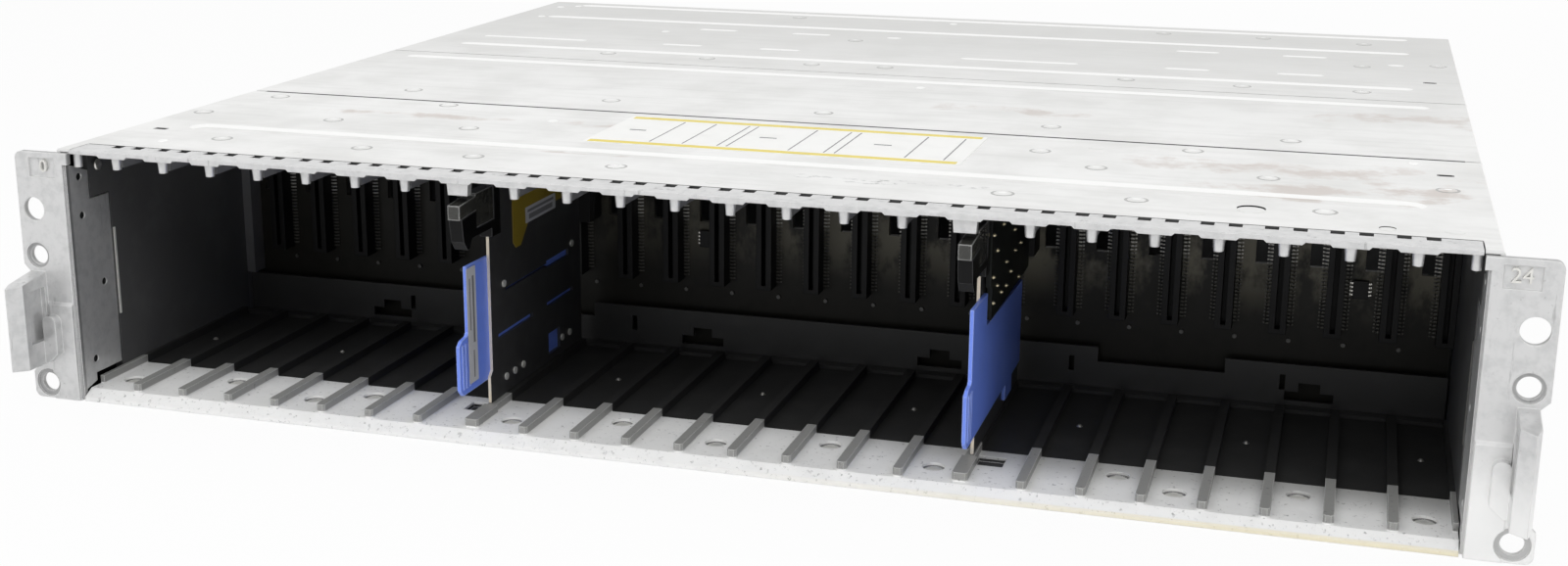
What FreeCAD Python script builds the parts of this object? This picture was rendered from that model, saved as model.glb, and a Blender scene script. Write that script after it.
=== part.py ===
"""Storage enclosure: a two-unit rack case with a drive cage, a midplane and two pull-out service cards.

While a piece is modelled, x is across the case, y = 0 is the front plane of the rack ears with y running to
the rear, and z = 0 is the underside. Each finished piece is then moved along y, so that the origin lies on
the underside, below the middle of the enclosure.
"""
import FreeCAD, Part
import os
import re

import Sketcher
from FreeCAD import Rotation, Vector

# Driving dimensions in millimetres: alias, value, what it measures
SIZES = [
    # Bays across the front
    ("bay_count", 25, "drive bays"),
    ("bay_pitch", 17.36, "one bay to the next"),
    ("bay_depth", 112.0, "ear face to the front of the midplane"),
    ("lane_inset", 8, "bays between a side wall and a card lane"),
    ("lane_spread", 1.12, "how far a card lane pushes a neighbouring divider aside"),
    # Case
    ("body_depth", 426.0, "ear face to the open rear"),
    ("body_height", 86.2, "underside to the top of the covers"),
    ("pan_steel", 1.2, "sheet of the base pan and the inner walls"),
    ("pan_flange", 12.0, "flange that carries the covers"),
    ("pan_relief", 24.6, "length of the front corner without a flange"),
    ("cover_steel", 1.0, "sheet of the covers"),
    ("cover_edge", 0.6, "bevel along the sides of the covers"),
    ("liner_steel", 3.01, "thickness of a side liner"),
    ("seam_offset", 12.0, "front of the midplane to the joint behind the front cover"),
    ("middle_length", 114.5, "joint behind the front cover to the joint ahead of the rear cover"),
    ("cover_gap", 1.0, "gap at a joint between covers"),
    ("seam_gap", 0.4, "gap between other neighbouring pieces"),
    # Pressed beads in the covers
    ("bead_depth", 1.2, "depth of a pressed bead"),
    ("bead_slope", 1.5, "width of each sloped side of a bead"),
    ("bead_reach", 205.0, "half length of a bead across the case"),
    ("seam_bead_reach", 210.0, "half length of the bead of the middle cover"),
    ("front_bead_place", 52.5, "ear face to the bead of the front cover"),
    ("front_bead_width", 11.0, "width of that bead"),
    ("seam_bead_inset", 11.5, "bead of the middle cover to the rear joint"),
    ("rear_bead_place", 31.5, "rear joint to the first bead of the rear cover"),
    ("rear_bead_step", 100.0, "first bead of the rear cover to the second"),
    ("rear_bead_inset", 10.0, "last bead of the rear cover to the rear"),
    ("narrow_bead_width", 7.0, "width of the beads at the rear"),
    ("emboss_length", 19.0, "length of a short emboss"),
    ("emboss_width", 5.0, "width of a short emboss"),
    ("emboss_pitch", 45.8, "short embosses, one to the next"),
    ("emboss_left", 107.8, "middle of the cover to the outer left emboss"),
    ("emboss_right", 115.4, "middle of the cover to the inner right emboss"),
    ("long_emboss_place", 44.8, "middle of the cover to the right long emboss"),
    ("left_long_emboss", 179.5, "middle of the cover to the left long emboss"),
    ("stub_emboss", 7.0, "length of the smallest embosses"),
    ("left_stub_place", 22.3, "middle of the cover to the left small emboss"),
    ("right_stub_place", 199.0, "middle of the cover to the right small emboss"),
    ("right_stub_step", 38.5, "front row of embosses to the right small emboss"),
    ("left_slot_place", 44.0, "ear face to the left slot of the front cover"),
    ("right_slot_place", 99.5, "ear face to the right slot of the front cover"),
    ("emboss_place", 56.5, "rear joint to the front row of embosses"),
    ("emboss_step", 52.5, "front row of embosses to the rear row"),
    ("long_emboss", 51.0, "length of the long embosses"),
    # Upper guide rail
    ("strip_front", 1.1, "ear face to the front of the upper rail"),
    ("strip_seam", 12.2, "ear face to the joint behind the upper rail"),
    ("strip_thickness", 1.3, "top web of the upper rail"),
    ("strip_tongue", 1.3, "tongue under the front cover"),
    ("strip_end_gap", 1.2, "upper rail to the inner width at each end"),
    ("tab_drop", 0.75, "how far a tab hangs below the web"),
    ("tab_width", 11.0, "width of a tab"),
    ("tab_slope_width", 0.8, "sideways slope at the ends of a tab"),
    ("tab_depth", 7.9, "tab from front to rear"),
    ("stud_reach", 6.0, "cover top to the tip of a stud"),
    ("stud_place", 4.0, "ear face to the middle of a stud"),
    ("stud_root", 1.75, "radius of a stud at its tab"),
    ("stud_tip", 1.4, "radius of a stud at its tip"),
    ("wide_stud", 7.2, "width of a stud above a card lane"),
    ("slot_length", 3.8, "length of a slot in the upper rail or a cover"),
    ("slot_width", 1.8, "width of a slot in a cover"),
    ("rail_slot_depth", 3.4, "slot in the upper rail from front to rear"),
    ("slot_offset", 3.8, "divider to the middle of a slot"),
    # Upper guide plate
    ("fin_thickness", 1.6, "thickness of an upper guide fin"),
    ("fin_front", 6.6, "ear face to the front of a fin"),
    ("fin_lift", 0.2, "tip of a stud to the lower edge of a fin"),
    ("plate_thickness", 1.0, "web of the upper guide plate"),
    ("plate_gap", 0.2, "underside of a bead to the upper guide plate"),
    ("lip_offset", 3.1, "middle of a card to a guide lip"),
    ("lip_front", 33.0, "ear face to the front of a guide lip"),
    ("lip_drop", 1.8, "guide lip below the tip of a stud"),
    # Lower guide sill and floor plate
    ("floor_top", 3.5, "underside to the floor of the bays"),
    ("sill_depth", 35.0, "ear face to the rear of the sill"),
    ("sill_lip", 1.2, "height of the front lip of the sill"),
    ("sill_slope", 4.2, "ear face to the rear of the sloped lip"),
    ("sill_front", 0.2, "ear face to the front of the sill"),
    ("rib_width", 3.0, "width of a guide rib"),
    ("rib_height", 2.7, "height of a guide rib"),
    ("rib_front", 4.8, "ear face to the front of a rib"),
    ("rib_bevel", 0.7, "bevel at the front corners of a rib"),
    ("wall_rib_front", 9.6, "ear face to the front of a rib at the wall"),
    ("wide_rib", 4.7, "width of a rib below a card"),
    ("wide_rib_front", 6.4, "ear face to the front of a wide rib"),
    ("wide_rib_end", 22.0, "ear face to the rear of a wide rib"),
    ("pocket_length", 8.6, "latch pocket across the case"),
    ("pocket_depth", 8.2, "latch pocket from front to rear"),
    ("pocket_sink", 1.8, "sink of a latch pocket"),
    ("recess_radius", 3.5, "radius of a screw recess in the sill"),
    ("recess_sink", 1.2, "sink of a screw recess"),
    ("head_radius", 3.1, "radius of a sill screw head"),
    ("head_height", 0.7, "height of a sill screw head"),
    ("front_row", 16.5, "ear face to the front row of sill screws"),
    ("rear_row", 25.5, "ear face to the rear row of sill screws"),
    ("floor_rivet_row", 67.0, "ear face to the row of floor rivets"),
    ("rivet_radius", 1.0, "radius of a floor rivet"),
    ("rivet_height", 0.6, "height of a floor rivet"),
    # Rack ears
    ("ear_drop", 1.2, "top of the covers to the top of a rack ear"),
    ("ear_width", 14.8, "rack ear beyond the case wall"),
    ("ear_thickness", 2.4, "thickness of the ear flange"),
    ("ear_corner", 2.4, "radius of the corners of an ear"),
    ("ear_edge", 0.8, "inner edge and face of the ear flange to the ear block"),
    ("ear_tab", 0.9, "how far the top of the ear flange reaches inwards"),
    ("ear_tab_height", 3.8, "height of that reach"),
    ("ear_waist", 2.35, "how far the waist of an ear steps in"),
    ("waist_bottom", 9.0, "underside to the waist of an ear"),
    ("waist_top", 46.5, "underside to the top of the waist"),
    ("ear_block_depth", 22.4, "ear face to the rear of the ear block"),
    ("ear_block_top", 67.5, "underside to the rear shoulder of the ear block"),
    ("ear_block_neck", 12.0, "ear face to the rear of the block above its shoulder"),
    ("ear_block_drop", 3.1, "cover flange to the top of the ear block at its front"),
    ("ear_block_fall", 3.6, "fall of that top towards the rear"),
    ("ear_foot_gap", 1.5, "rib at the wall to the foot of the ear block"),
    ("ear_gap", 0.2, "ear block to the inner width"),
    ("hole_offset", 9.1, "case wall to the rack holes"),
    ("low_hole", 5.35, "underside to the lower rack hole"),
    ("hole_rise", 44.45, "lower rack hole to the upper one"),
    ("pin_hole_rise", 15.875, "upper rack hole to the locating hole"),
    ("hole_radius", 3.2, "radius of a rack hole"),
    ("pin_hole_radius", 4.0, "radius of a locating hole"),
    ("low_spot_radius", 4.85, "radius of the sink at the lower rack hole"),
    ("high_spot_radius", 4.3, "radius of the sink at the upper rack hole"),
    ("spot_sink", 0.8, "depth of the sinks at the rack holes"),
    ("number_width", 9.8, "width of the number recess"),
    ("number_height", 6.4, "height of the number recess"),
    ("number_place", 76.7, "underside to the number recess"),
    ("number_sink", 0.6, "depth of the number recess"),
    ("apron_height", 34.1, "height of the raised lower ear face"),
    ("apron_width", 6.6, "raised face beyond the case wall"),
    ("apron_lift", 0.9, "lift of the raised face"),
    ("pull_reach", 16.0, "ear face to the tip of the pull"),
    ("pull_shoulder", 12.4, "ear face to the inner front edge of the pull"),
    ("pull_tip", 4.2, "inner side of the pull to its tip"),
    ("pull_nose", 4.0, "tip of the pull to its outer front edge"),
    ("pull_pocket", 1.8, "depth of the pocket in the inner side of the pull"),
    ("pull_pocket_foot", 8.0, "bottom of the pull to the pocket"),
    ("pull_lip", 2.4, "wall around the pocket"),
    ("pull_offset", 6.75, "case wall to the pull"),
    ("pull_thickness", 5.6, "thickness of the pull"),
    ("pull_bottom", 13.4, "underside to the bottom of the pull"),
    ("pull_top", 41.9, "underside to the top of the pull at its front"),
    ("pull_rise", 2.5, "rise of the pull towards the ear"),
    ("post_width", 4.95, "width of the round-topped post beside the pull"),
    ("post_top", 30.0, "underside to the top of the post"),
    ("post_bottom", 13.6, "underside to the foot of the post"),
    ("post_taper", 3.4, "height of the tapered foot of the post"),
    ("post_reach", 4.0, "ear face to the front of the post"),
    ("top_screw_depth", 7.3, "ear face to the top ear screw"),
    ("top_screw_place", 76.0, "underside to the top ear screw"),
    ("high_screw_depth", 7.5, "ear face to the upper ear screw"),
    ("high_screw_place", 62.8, "underside to the upper ear screw"),
    ("middle_screw_depth", 16.4, "ear face to the middle ear screw"),
    ("middle_screw_place", 37.8, "underside to the middle ear screw"),
    ("low_screw_depth", 8.4, "ear face to the lower ear screw"),
    ("low_screw_place", 12.6, "underside to the lower ear screw"),
    ("ear_screw_radius", 2.6, "radius of an ear screw head"),
    ("ear_screw_height", 0.9, "height of an ear screw head"),
    ("ear_bore", 1.3, "radius of the threaded bores in the ear block"),
    # Midplane
    ("board_thickness", 2.4, "thickness of the midplane board"),
    ("board_margin", 0.8, "midplane board to the inner width"),
    ("board_gap", 2.0, "midplane board to the pan flange"),
    ("socket_width", 5.6, "width of a drive connector"),
    ("socket_depth", 7.0, "height of a drive connector off the board"),
    ("socket_bottom", 29.0, "underside to the foot of a drive connector"),
    ("socket_length", 44.0, "length of a drive connector"),
    ("socket_offset", 2.9, "divider to the middle of a drive connector"),
    ("socket_slot", 1.6, "width of the slot in a connector"),
    ("socket_slot_depth", 4.5, "depth of the slot in a connector"),
    ("vent_width", 5.7, "width of an air opening in the midplane"),
    ("vent_bottom", 50.6, "underside to the air openings"),
    ("vent_height", 17.0, "height of an air opening"),
    ("bracket_height", 18.6, "underside to the top of the lower bracket"),
    ("bracket_stand", 5.5, "midplane to the front of the lower bracket"),
    ("bracket_foot", 9.5, "lower bracket from front to rear"),
    ("bracket_toe", 5.0, "foot of the lower bracket on the floor plate"),
    ("bracket_notch", 5.0, "depth of a notch in the lower bracket"),
    ("bracket_notch_width", 42.0, "width of a notch in the lower bracket"),
    ("left_notch_place", 97.5, "middle of the case to the left notch"),
    ("right_notch_place", 127.5, "middle of the case to the right notch"),
    ("bracket_slot_width", 1.8, "width of an upright slot in the lower bracket"),
    ("bracket_slot_height", 5.2, "height of an upright slot"),
    ("bracket_slot_place", 12.3, "underside to the middle of an upright slot"),
    ("hook_hole_width", 15.6, "width of a stepped hole in the lower bracket"),
    ("hook_neck_width", 7.0, "width of the top of a stepped hole"),
    ("hook_hole_low", 6.2, "underside to a stepped hole"),
    ("hook_hole_step", 3.1, "height of each half of a stepped hole"),
    ("bracket_leg", 9.0, "height of the upper bracket's leg"),
    ("post_side", 6.5, "width of a side post of the midplane"),
    ("module_socket_width", 58.0, "width of a module connector"),
    ("module_socket_height", 9.0, "height of a module connector"),
    ("module_socket_depth", 9.0, "module connector off the board"),
    ("chip_width", 4.9, "width of a memory chip"),
    ("chip_height", 6.0, "height of a memory chip"),
    ("chip_thickness", 1.6, "thickness of a memory chip"),
    ("board_screw_radius", 0.7, "radius of a midplane screw head"),
    ("board_screw_height", 0.8, "height of a midplane screw head"),
    ("board_screw_drop", 3.8, "foot of a drive connector to the screw below it"),
    ("board_screw_offset", 0.8, "side of a bay to the midplane screw"),
    # Rear module bays
    ("side_bay_width", 106.0, "width of an outer module bay"),
    ("bay_wall_gap", 0.2, "underside of a bead to the module bay walls"),
    ("rear_inset", 1.0, "rear of the case to the module bay walls"),
    ("foot_width", 12.0, "foot of a module bay wall"),
    ("shelf_place", 42.2, "underside to the module shelf"),
    ("shelf_flange", 8.0, "flange of the module shelf"),
    # Service cards
    ("card_clearance", 0.3, "running clearance around a card"),
    ("card_steel", 1.0, "sheet of a card plate"),
    ("card_offset", 0.12, "middle of a lane to the inner face of a card plate"),
    ("card_front", 24.4, "ear face to the front of a card plate"),
    ("card_toe", 1.8, "how far the toe of the plate steps forward"),
    ("card_toe_height", 8.8, "height of that toe"),
    ("plug_length", 4.0, "card plug from front to rear"),
    ("plug_width", 5.0, "width of a card plug"),
    ("plug_height", 25.0, "height of a card plug"),
    ("plug_drop", 5.0, "card top to the card plug"),
    ("window_height", 2.6, "height of the upper window in a card plate"),
    ("slit_height", 0.8, "height of the slit ahead of the upper window"),
    ("low_window_height", 1.6, "height of the windows below it"),
    ("upper_window_place", 27.1, "bottom of the tag to the upper window"),
    ("upper_window_length", 20.0, "length of the upper window"),
    ("upper_window_rear", 6.0, "rear of the tag to the upper window"),
    ("upper_window_front", 11.6, "card front to the slit"),
    ("middle_window_front", 5.0, "card front to the middle window"),
    ("middle_window_length", 28.0, "length of the middle window"),
    ("rear_window_length", 23.2, "length of the window behind it"),
    ("middle_window_place", 12.7, "bottom of the tag to the middle window"),
    ("window_margin", 3.0, "rear of the tag to the rear window"),
    ("key_window", 10.0, "length of the window at the tag's key"),
    ("card_board_thickness", 1.6, "thickness of a card board"),
    ("card_board_stand", 0.6, "card plate to the card board"),
    ("card_board_gap", 1.5, "pull tag to the card board"),
    ("spacer_radius", 2.0, "radius of a board spacer"),
    ("sheet_thickness", 0.2, "thickness of an insulating sheet"),
    ("sheet_inset", 18.5, "card front to the insulating sheet"),
    ("sheet_margin", 6.0, "insulating sheet to the rear of the card plate"),
    ("sheet_lobe", 8.6, "drop of the lobe of the insulating sheet"),
    ("sheet_lobe_width", 6.0, "width of that lobe at its foot"),
    ("sheet_corner", 2.0, "bevel at the corner of the lobe"),
    ("tag_thickness", 1.2, "thickness of a pull tag"),
    ("tag_foot", 8.0, "card bottom to the pull tag"),
    ("tag_gap", 6.6, "pipe holder to the top of the pull tag"),
    ("tag_inset", 4.7, "rear of the tag to the rear of the card plate"),
    ("tag_front", 9.2, "ear face to the front of the tag above its grip"),
    ("tag_shoulder", 31.0, "ear face to the step behind the tag"),
    ("tag_rail", 30.5, "height of the tag behind its step"),
    ("tag_bevel", 2.0, "bevel at the corners of the tag"),
    ("grip_height", 18.6, "height of the wide grip of a tag"),
    ("grip_front", 2.4, "ear face to the front of the grip"),
    ("grip_rib", 0.4, "lift of a grip rib"),
    ("grip_rib_pitch", 2.2, "grip ribs, one to the next"),
    ("key_length", 12.0, "length of the key below the tag"),
    ("key_drop", 5.5, "drop of that key"),
    ("key_place", 15.0, "rear of the tag to the key"),
    ("pipe_width", 4.0, "width of the light pipe"),
    ("pipe_front", 0.6, "ear face to the tip of the light pipe"),
    ("pipe_step", 12.4, "ear face to the tall rear of the light pipe"),
    ("pipe_height", 4.6, "height of the tip of the light pipe"),
    ("pipe_drop", 1.0, "card top to the light pipe"),
    ("pipe_rise", 0.8, "rise of the tip towards the rear"),
    ("pipe_tall", 11.0, "height of the rear of the light pipe"),
    ("holder_height", 17.6, "height of the pipe holder at its rear"),
    ("holder_depth", 5.6, "pipe holder over the card plate"),
    ("holder_width", 4.4, "width of the pipe holder"),
    ("holder_wall", 3.0, "wall of the pipe holder below the light pipe"),
    ("hook_width", 1.8, "width of the holder's hook at its foot"),
    ("hook_lean", 3.6, "how far the top of the hook leans forward"),
    ("card_screw_radius", 1.2, "radius of a card rivet"),
    ("card_screw_height", 0.5, "height of a card rivet"),
    ("card_screw_inset", 10.1, "card front to the first low rivet"),
    ("card_screw_pitch", 6.9, "low rivets, one to the next"),
    ("card_screw_lift", 5.6, "card bottom to the low rivets"),
    ("card_screw_drop", 1.0, "top of the tag's rail to the upper rivets"),
]

doc = FreeCAD.newDocument("storage_enclosure")
sheet = doc.addObject("Spreadsheet::Sheet", "Sizes")
for row, (alias, value, meaning) in enumerate(SIZES, start=1):
    sheet.set(f"A{row}", meaning)
    sheet.set(f"B{row}", str(value))
    sheet.setAlias(f"B{row}", alias)
doc.recompute()
ALIASES = {alias for alias, value, meaning in SIZES}

# Places that several pieces share, worked out from the sheet
INNER = "(bay_count / 2 * bay_pitch + 2 * lane_spread)"
WALL = f"({INNER} + liner_steel)"
HALF = f"({WALL} + pan_steel)"
PAN_TOP = "(body_height - cover_steel)"
EAR_TOP = "(body_height - ear_drop)"
FLANGE_LOW = f"({PAN_TOP} - pan_steel)"
FRONT_SEAM = "(bay_depth + seam_offset)"
REAR_SEAM = f"({FRONT_SEAM} + middle_length)"
RIB_TOP = "(floor_top + rib_height)"
STUD_TIP = "(body_height - stud_reach)"
STRIP_LOW = "(body_height - strip_thickness)"
TAB_LOW = f"({STRIP_LOW} - tab_drop)"
BEAD_LOW = f"({PAN_TOP} - bead_depth)"
PLATE_TOP = f"({BEAD_LOW} - plate_gap)"
PLATE_LOW = f"({PLATE_TOP} - plate_thickness)"
SOCKET_FRONT = "(bay_depth - socket_depth)"
BRACKET_FRONT = "(bay_depth - bracket_stand)"
BOARD_REAR = "(bay_depth + board_thickness)"
MODULE_FRONT = f"({BOARD_REAR} + module_socket_depth + pan_steel)"
MODULE_REAR = "(body_depth - rear_inset)"
LANE = "((bay_count / 2 - lane_inset) * bay_pitch + lane_spread)"
BAY_WALL = f"({WALL} - side_bay_width)"
CARD_LOW = f"({RIB_TOP} + card_clearance)"
CARD_TOP = f"({STUD_TIP} - card_clearance)"
CARD_REAR = f"({SOCKET_FRONT} - card_clearance - plug_length)"
TAG_LOW = f"({CARD_LOW} + tag_foot)"
HOLDER_LOW = f"({CARD_TOP} - holder_height)"
TAG_TOP = f"({HOLDER_LOW} - tag_gap)"
TAG_REAR = f"({CARD_REAR} - tag_inset)"
EAR_IN = f"({INNER} + ear_gap)"
EAR_OUT = f"({HALF} + ear_width)"

BAYS = int(sheet.bay_count)
LEFT_LANE = int(sheet.lane_inset)
RIGHT_LANE = BAYS - LEFT_LANE
LANES = (LEFT_LANE, RIGHT_LANE)
SIDES = {"left": -1, "right": 1}
FRONT_SCREW_BAYS = range(0, BAYS, 4)
REAR_SCREW_BAYS = (2, 5, 10, 14, 19, 22)
BRACKET_SLOT_DIVIDERS = (4, 9, 18, 22)
BRACKET_HOOK_BAYS = (3, 10, 15, 22)
CHIP_BAYS = (10, 23)

finished = []


def bind(text):
    """The expression with each alias written as a cell of the sheet."""
    return re.sub(r"[a-z_]+", lambda word: f"Sizes.{word[0]}" if word[0] in ALIASES else word[0], text)


def number(text):
    """The value of an expression now."""
    return float(sheet.evalExpression(bind(text)))


def block(name, x, y, z):
    """A box between two places on each axis."""
    box = doc.addObject("Part::Box", name)
    for size, axis, (low, high) in (("Length", "x", x), ("Width", "y", y), ("Height", "z", z)):
        box.setExpression(size, bind(f"({high}) - ({low})"))
        box.setExpression(f"Placement.Base.{axis}", bind(low))
    return box


AXIS_TURNS = {
    "x": Rotation(Vector(0, 1, 0), 90),
    "y": Rotation(Vector(1, 0, 0), -90),
    "z": Rotation(),
}


def stand(piece, axis, start):
    """Turn a round primitive onto an axis and set its start."""
    piece.Placement = FreeCAD.Placement(Vector(), AXIS_TURNS[axis])
    for direction, place in zip("xyz", start):
        piece.setExpression(f"Placement.Base.{direction}", bind(place))
    return piece


def rod(name, axis, start, radius, length):
    """A cylinder that runs up an axis from its start."""
    cylinder = doc.addObject("Part::Cylinder", name)
    cylinder.setExpression("Radius", bind(radius))
    cylinder.setExpression("Height", bind(length))
    return stand(cylinder, axis, start)


def taper(name, axis, start, radius, end_radius, length):
    """A cone that runs up an axis from its start."""
    cone = doc.addObject("Part::Cone", name)
    cone.setExpression("Radius1", bind(radius))
    cone.setExpression("Radius2", bind(end_radius))
    cone.setExpression("Height", bind(length))
    return stand(cone, axis, start)


# A sketch on the XZ plane faces the front, so its pad starts at the rear
PLANES = {"x": "YZ_Plane", "y": "XZ_Plane", "z": "XY_Plane"}


def prism(name, axis, low, high, points):
    """A body padded along an axis from an outline, each point held by two dimensions."""
    body = doc.addObject("PartDesign::Body", name)
    sketch = body.newObject("Sketcher::SketchObject", f"{name}_outline")
    plane = next(item for item in body.Origin.OriginFeatures if item.Role == PLANES[axis])
    sketch.AttachmentSupport = [(plane, "")]
    sketch.MapMode = "FlatFace"
    sketch.setExpression("AttachmentOffset.Base.z", bind(f"-({high})" if axis == "y" else low))
    corners = [Vector(number(across), number(up), 0) for across, up in points]
    for start, end in zip(corners, corners[1:] + corners[:1]):
        sketch.addGeometry(Part.LineSegment(start, end))
    for edge in range(len(corners)):
        following = (edge + 1) % len(corners)
        sketch.addConstraint(Sketcher.Constraint("Coincident", edge, 2, following, 1))
    for edge, (corner, point) in enumerate(zip(corners, points)):
        for kind, distance, text in zip(("DistanceX", "DistanceY"), corner, point):
            dimension = sketch.addConstraint(Sketcher.Constraint(kind, -1, 1, edge, 1, distance))
            sketch.setExpression(f"Constraints[{dimension}]", bind(text))
    pad = body.newObject("PartDesign::Pad", f"{name}_pad")
    pad.Profile = sketch
    pad.setExpression("Length", bind(f"({high}) - ({low})"))
    return body


def fused(name, shapes):
    """One solid from shapes that meet."""
    fusion = doc.addObject("Part::MultiFuse", name)
    fusion.Shapes = shapes
    fusion.Refine = True
    return fusion


def cut(name, base, tools):
    """The base with the tools taken out of it."""
    result = doc.addObject("Part::Cut", name)
    result.Base = base
    result.Tool = tools[0] if len(tools) == 1 else group(f"{name}_tools", tools)
    return result


def group(name, solids):
    """Separate solids kept together as one object."""
    compound = doc.addObject("Part::Compound", name)
    compound.Links = solids
    return compound


def mirrored(name, source):
    """The same piece for the other side of the case."""
    mirror = doc.addObject("Part::Mirroring", name)
    mirror.Source = source
    mirror.Normal = Vector(1, 0, 0)
    return mirror


def finish(label, piece):
    """Name a finished piece and set it on the enclosure's own origin."""
    piece.Label = label
    piece.setExpression("Placement.Base.y", bind("(pull_reach - body_depth) / 2"))
    finished.append(piece)


def finish_pair(label, right):
    """Finish a right-hand piece and mirror it for the left."""
    finish(f"right_{label}", right)
    left = mirrored(f"left_{label}_mirror", right)
    left.Label = f"left_{label}"
    finished.append(left)


def divider(k):
    """The middle of a divider, counted from the left wall."""
    lanes_passed = sum((k > lane) + (k >= lane) for lane in LANES) - len(LANES)
    return f"(({k} - bay_count / 2) * bay_pitch + ({lanes_passed}) * lane_spread)"


def bay_left(k):
    """The left side of a bay, counted from the left wall."""
    lanes_passed = 2 * sum(k >= lane for lane in LANES) - len(LANES)
    return f"(({k} - bay_count / 2) * bay_pitch + ({lanes_passed}) * lane_spread)"


def bay_middle(k):
    """The middle of a bay."""
    return f"({bay_left(k)} + bay_pitch / 2)"


def socket_middle(k):
    """The middle of the drive connector of a bay."""
    return f"({bay_left(k)} + bay_pitch - socket_offset)"


def about(middle, width):
    """The two places half a width either side of a middle."""
    return f"{middle} - ({width}) / 2", f"{middle} + ({width}) / 2"


def stadium(name, x, y, width, z):
    """An upright plug with half-round ends, from one x to the other."""
    low, high = x
    radius = f"({width}) / 2"
    length = f"({z[1]}) - ({z[0]})"
    middle = block(f"{name}_middle", (f"{low} + {radius}", f"{high} - {radius}"), about(y, width), z)
    ends = [
        rod(f"{name}_left", "z", (f"{low} + {radius}", y, z[0]), radius, length),
        rod(f"{name}_right", "z", (f"{high} - {radius}", y, z[0]), radius, length),
    ]
    return fused(name, [middle, *ends])


# Case


def make_base_pan():
    """A channel of sheet steel: floor, side walls and the flanges that carry the covers."""
    right = [
        (HALF, "0"),
        (HALF, PAN_TOP),
        (f"{HALF} - pan_flange", PAN_TOP),
        (f"{HALF} - pan_flange", FLANGE_LOW),
        (WALL, FLANGE_LOW),
        (WALL, "pan_steel"),
    ]
    left = [(f"-({across})", up) for across, up in reversed(right)]
    channel = prism("pan_channel", "y", "ear_thickness", "body_depth", right + left)
    relief = block("pan_corner_relief", (f"-{WALL}", WALL), ("0", "pan_relief"), (STUD_TIP, "body_height"))
    finish("base_pan", cut("pan", channel, [relief]))


def cover_sheet(name, front, rear):
    """One flat cover, bevelled along its sides."""
    right = [
        (HALF, PAN_TOP),
        (HALF, "body_height - cover_edge"),
        (f"{HALF} - cover_edge", "body_height"),
    ]
    left = [(f"-({across})", up) for across, up in reversed(right)]
    return prism(name, "y", front, rear, right + left)


def trough(name, x, y, width, low, rise):
    """A plug with sloped sides and round ends, as wide as its bead at one bead depth above its foot."""
    foot = f"(({width}) / 2 - bead_slope)"
    brim = f"({foot} + bead_slope * ({rise}) / bead_depth)"
    high = f"{low} + {rise}"
    section = [
        (f"{y} - {foot}", low),
        (f"{y} + {foot}", low),
        (f"{y} + {brim}", high),
        (f"{y} - {brim}", high),
    ]
    ends = (f"{x[0]} + ({width}) / 2", f"{x[1]} - ({width}) / 2")
    pieces = [prism(f"{name}_middle", "x", *ends, section)]
    for side, place in zip(SIDES, ends):
        pieces.append(taper(f"{name}_{side}", "z", (place, y, low), foot, brim, rise))
    return fused(name, pieces)


def pressed(name, sheet_body, beads, cut_outs=()):
    """A cover with sloped beads pressed down into it and slots cut through it."""
    grooves = []
    backs = []
    for index, (x, y, width) in enumerate(beads):
        bead = f"{name}_bead_{index}"
        grooves.append(trough(f"{bead}_groove", x, y, width, "body_height - bead_depth", "2 * bead_depth"))
        backs.append(trough(f"{bead}_back", x, y, width, BEAD_LOW, "bead_depth + cover_steel / 2"))
    backed = fused(f"{name}_with_backs", [sheet_body, *backs])
    finish(name, cut(f"{name}_pressed", backed, grooves + list(cut_outs)))


def make_front_cover():
    """The cover over the bays: its front corners reach past the ends of the upper rail."""
    sheet_body = cover_sheet("front_sheet", "ear_thickness", FRONT_SEAM)
    strip_end = f"({INNER} - strip_end_gap + seam_gap)"
    rail_gap = block(
        "front_cover_rail_gap",
        (f"-{strip_end}", strip_end),
        ("0", "strip_seam + seam_gap"),
        ("0", "body_height + cover_steel"),
    )
    through = (BEAD_LOW, "body_height + bead_depth")
    flange_edge = f"({HALF} - pan_flange)"
    left_slot = about(f"-{flange_edge}", "slot_length"), about("left_slot_place", "slot_width"), through
    right_slot = about(flange_edge, "slot_length"), about("right_slot_place", "slot_width"), through
    slots = [block("front_cover_left_slot", *left_slot), block("front_cover_right_slot", *right_slot)]
    beads = [(("-bead_reach", "bead_reach"), "front_bead_place", "front_bead_width")]
    pressed("front_cover", sheet_body, beads, [rail_gap, *slots])


def make_middle_cover():
    """The cover over the midplane, stiffened by one bead ahead of the rear joint."""
    sheet_body = cover_sheet("middle_sheet", f"{FRONT_SEAM} + cover_gap", REAR_SEAM)
    beads = [(("-seam_bead_reach", "seam_bead_reach"), f"{REAR_SEAM} - seam_bead_inset", "narrow_bead_width")]
    pressed("middle_cover", sheet_body, beads)


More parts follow.
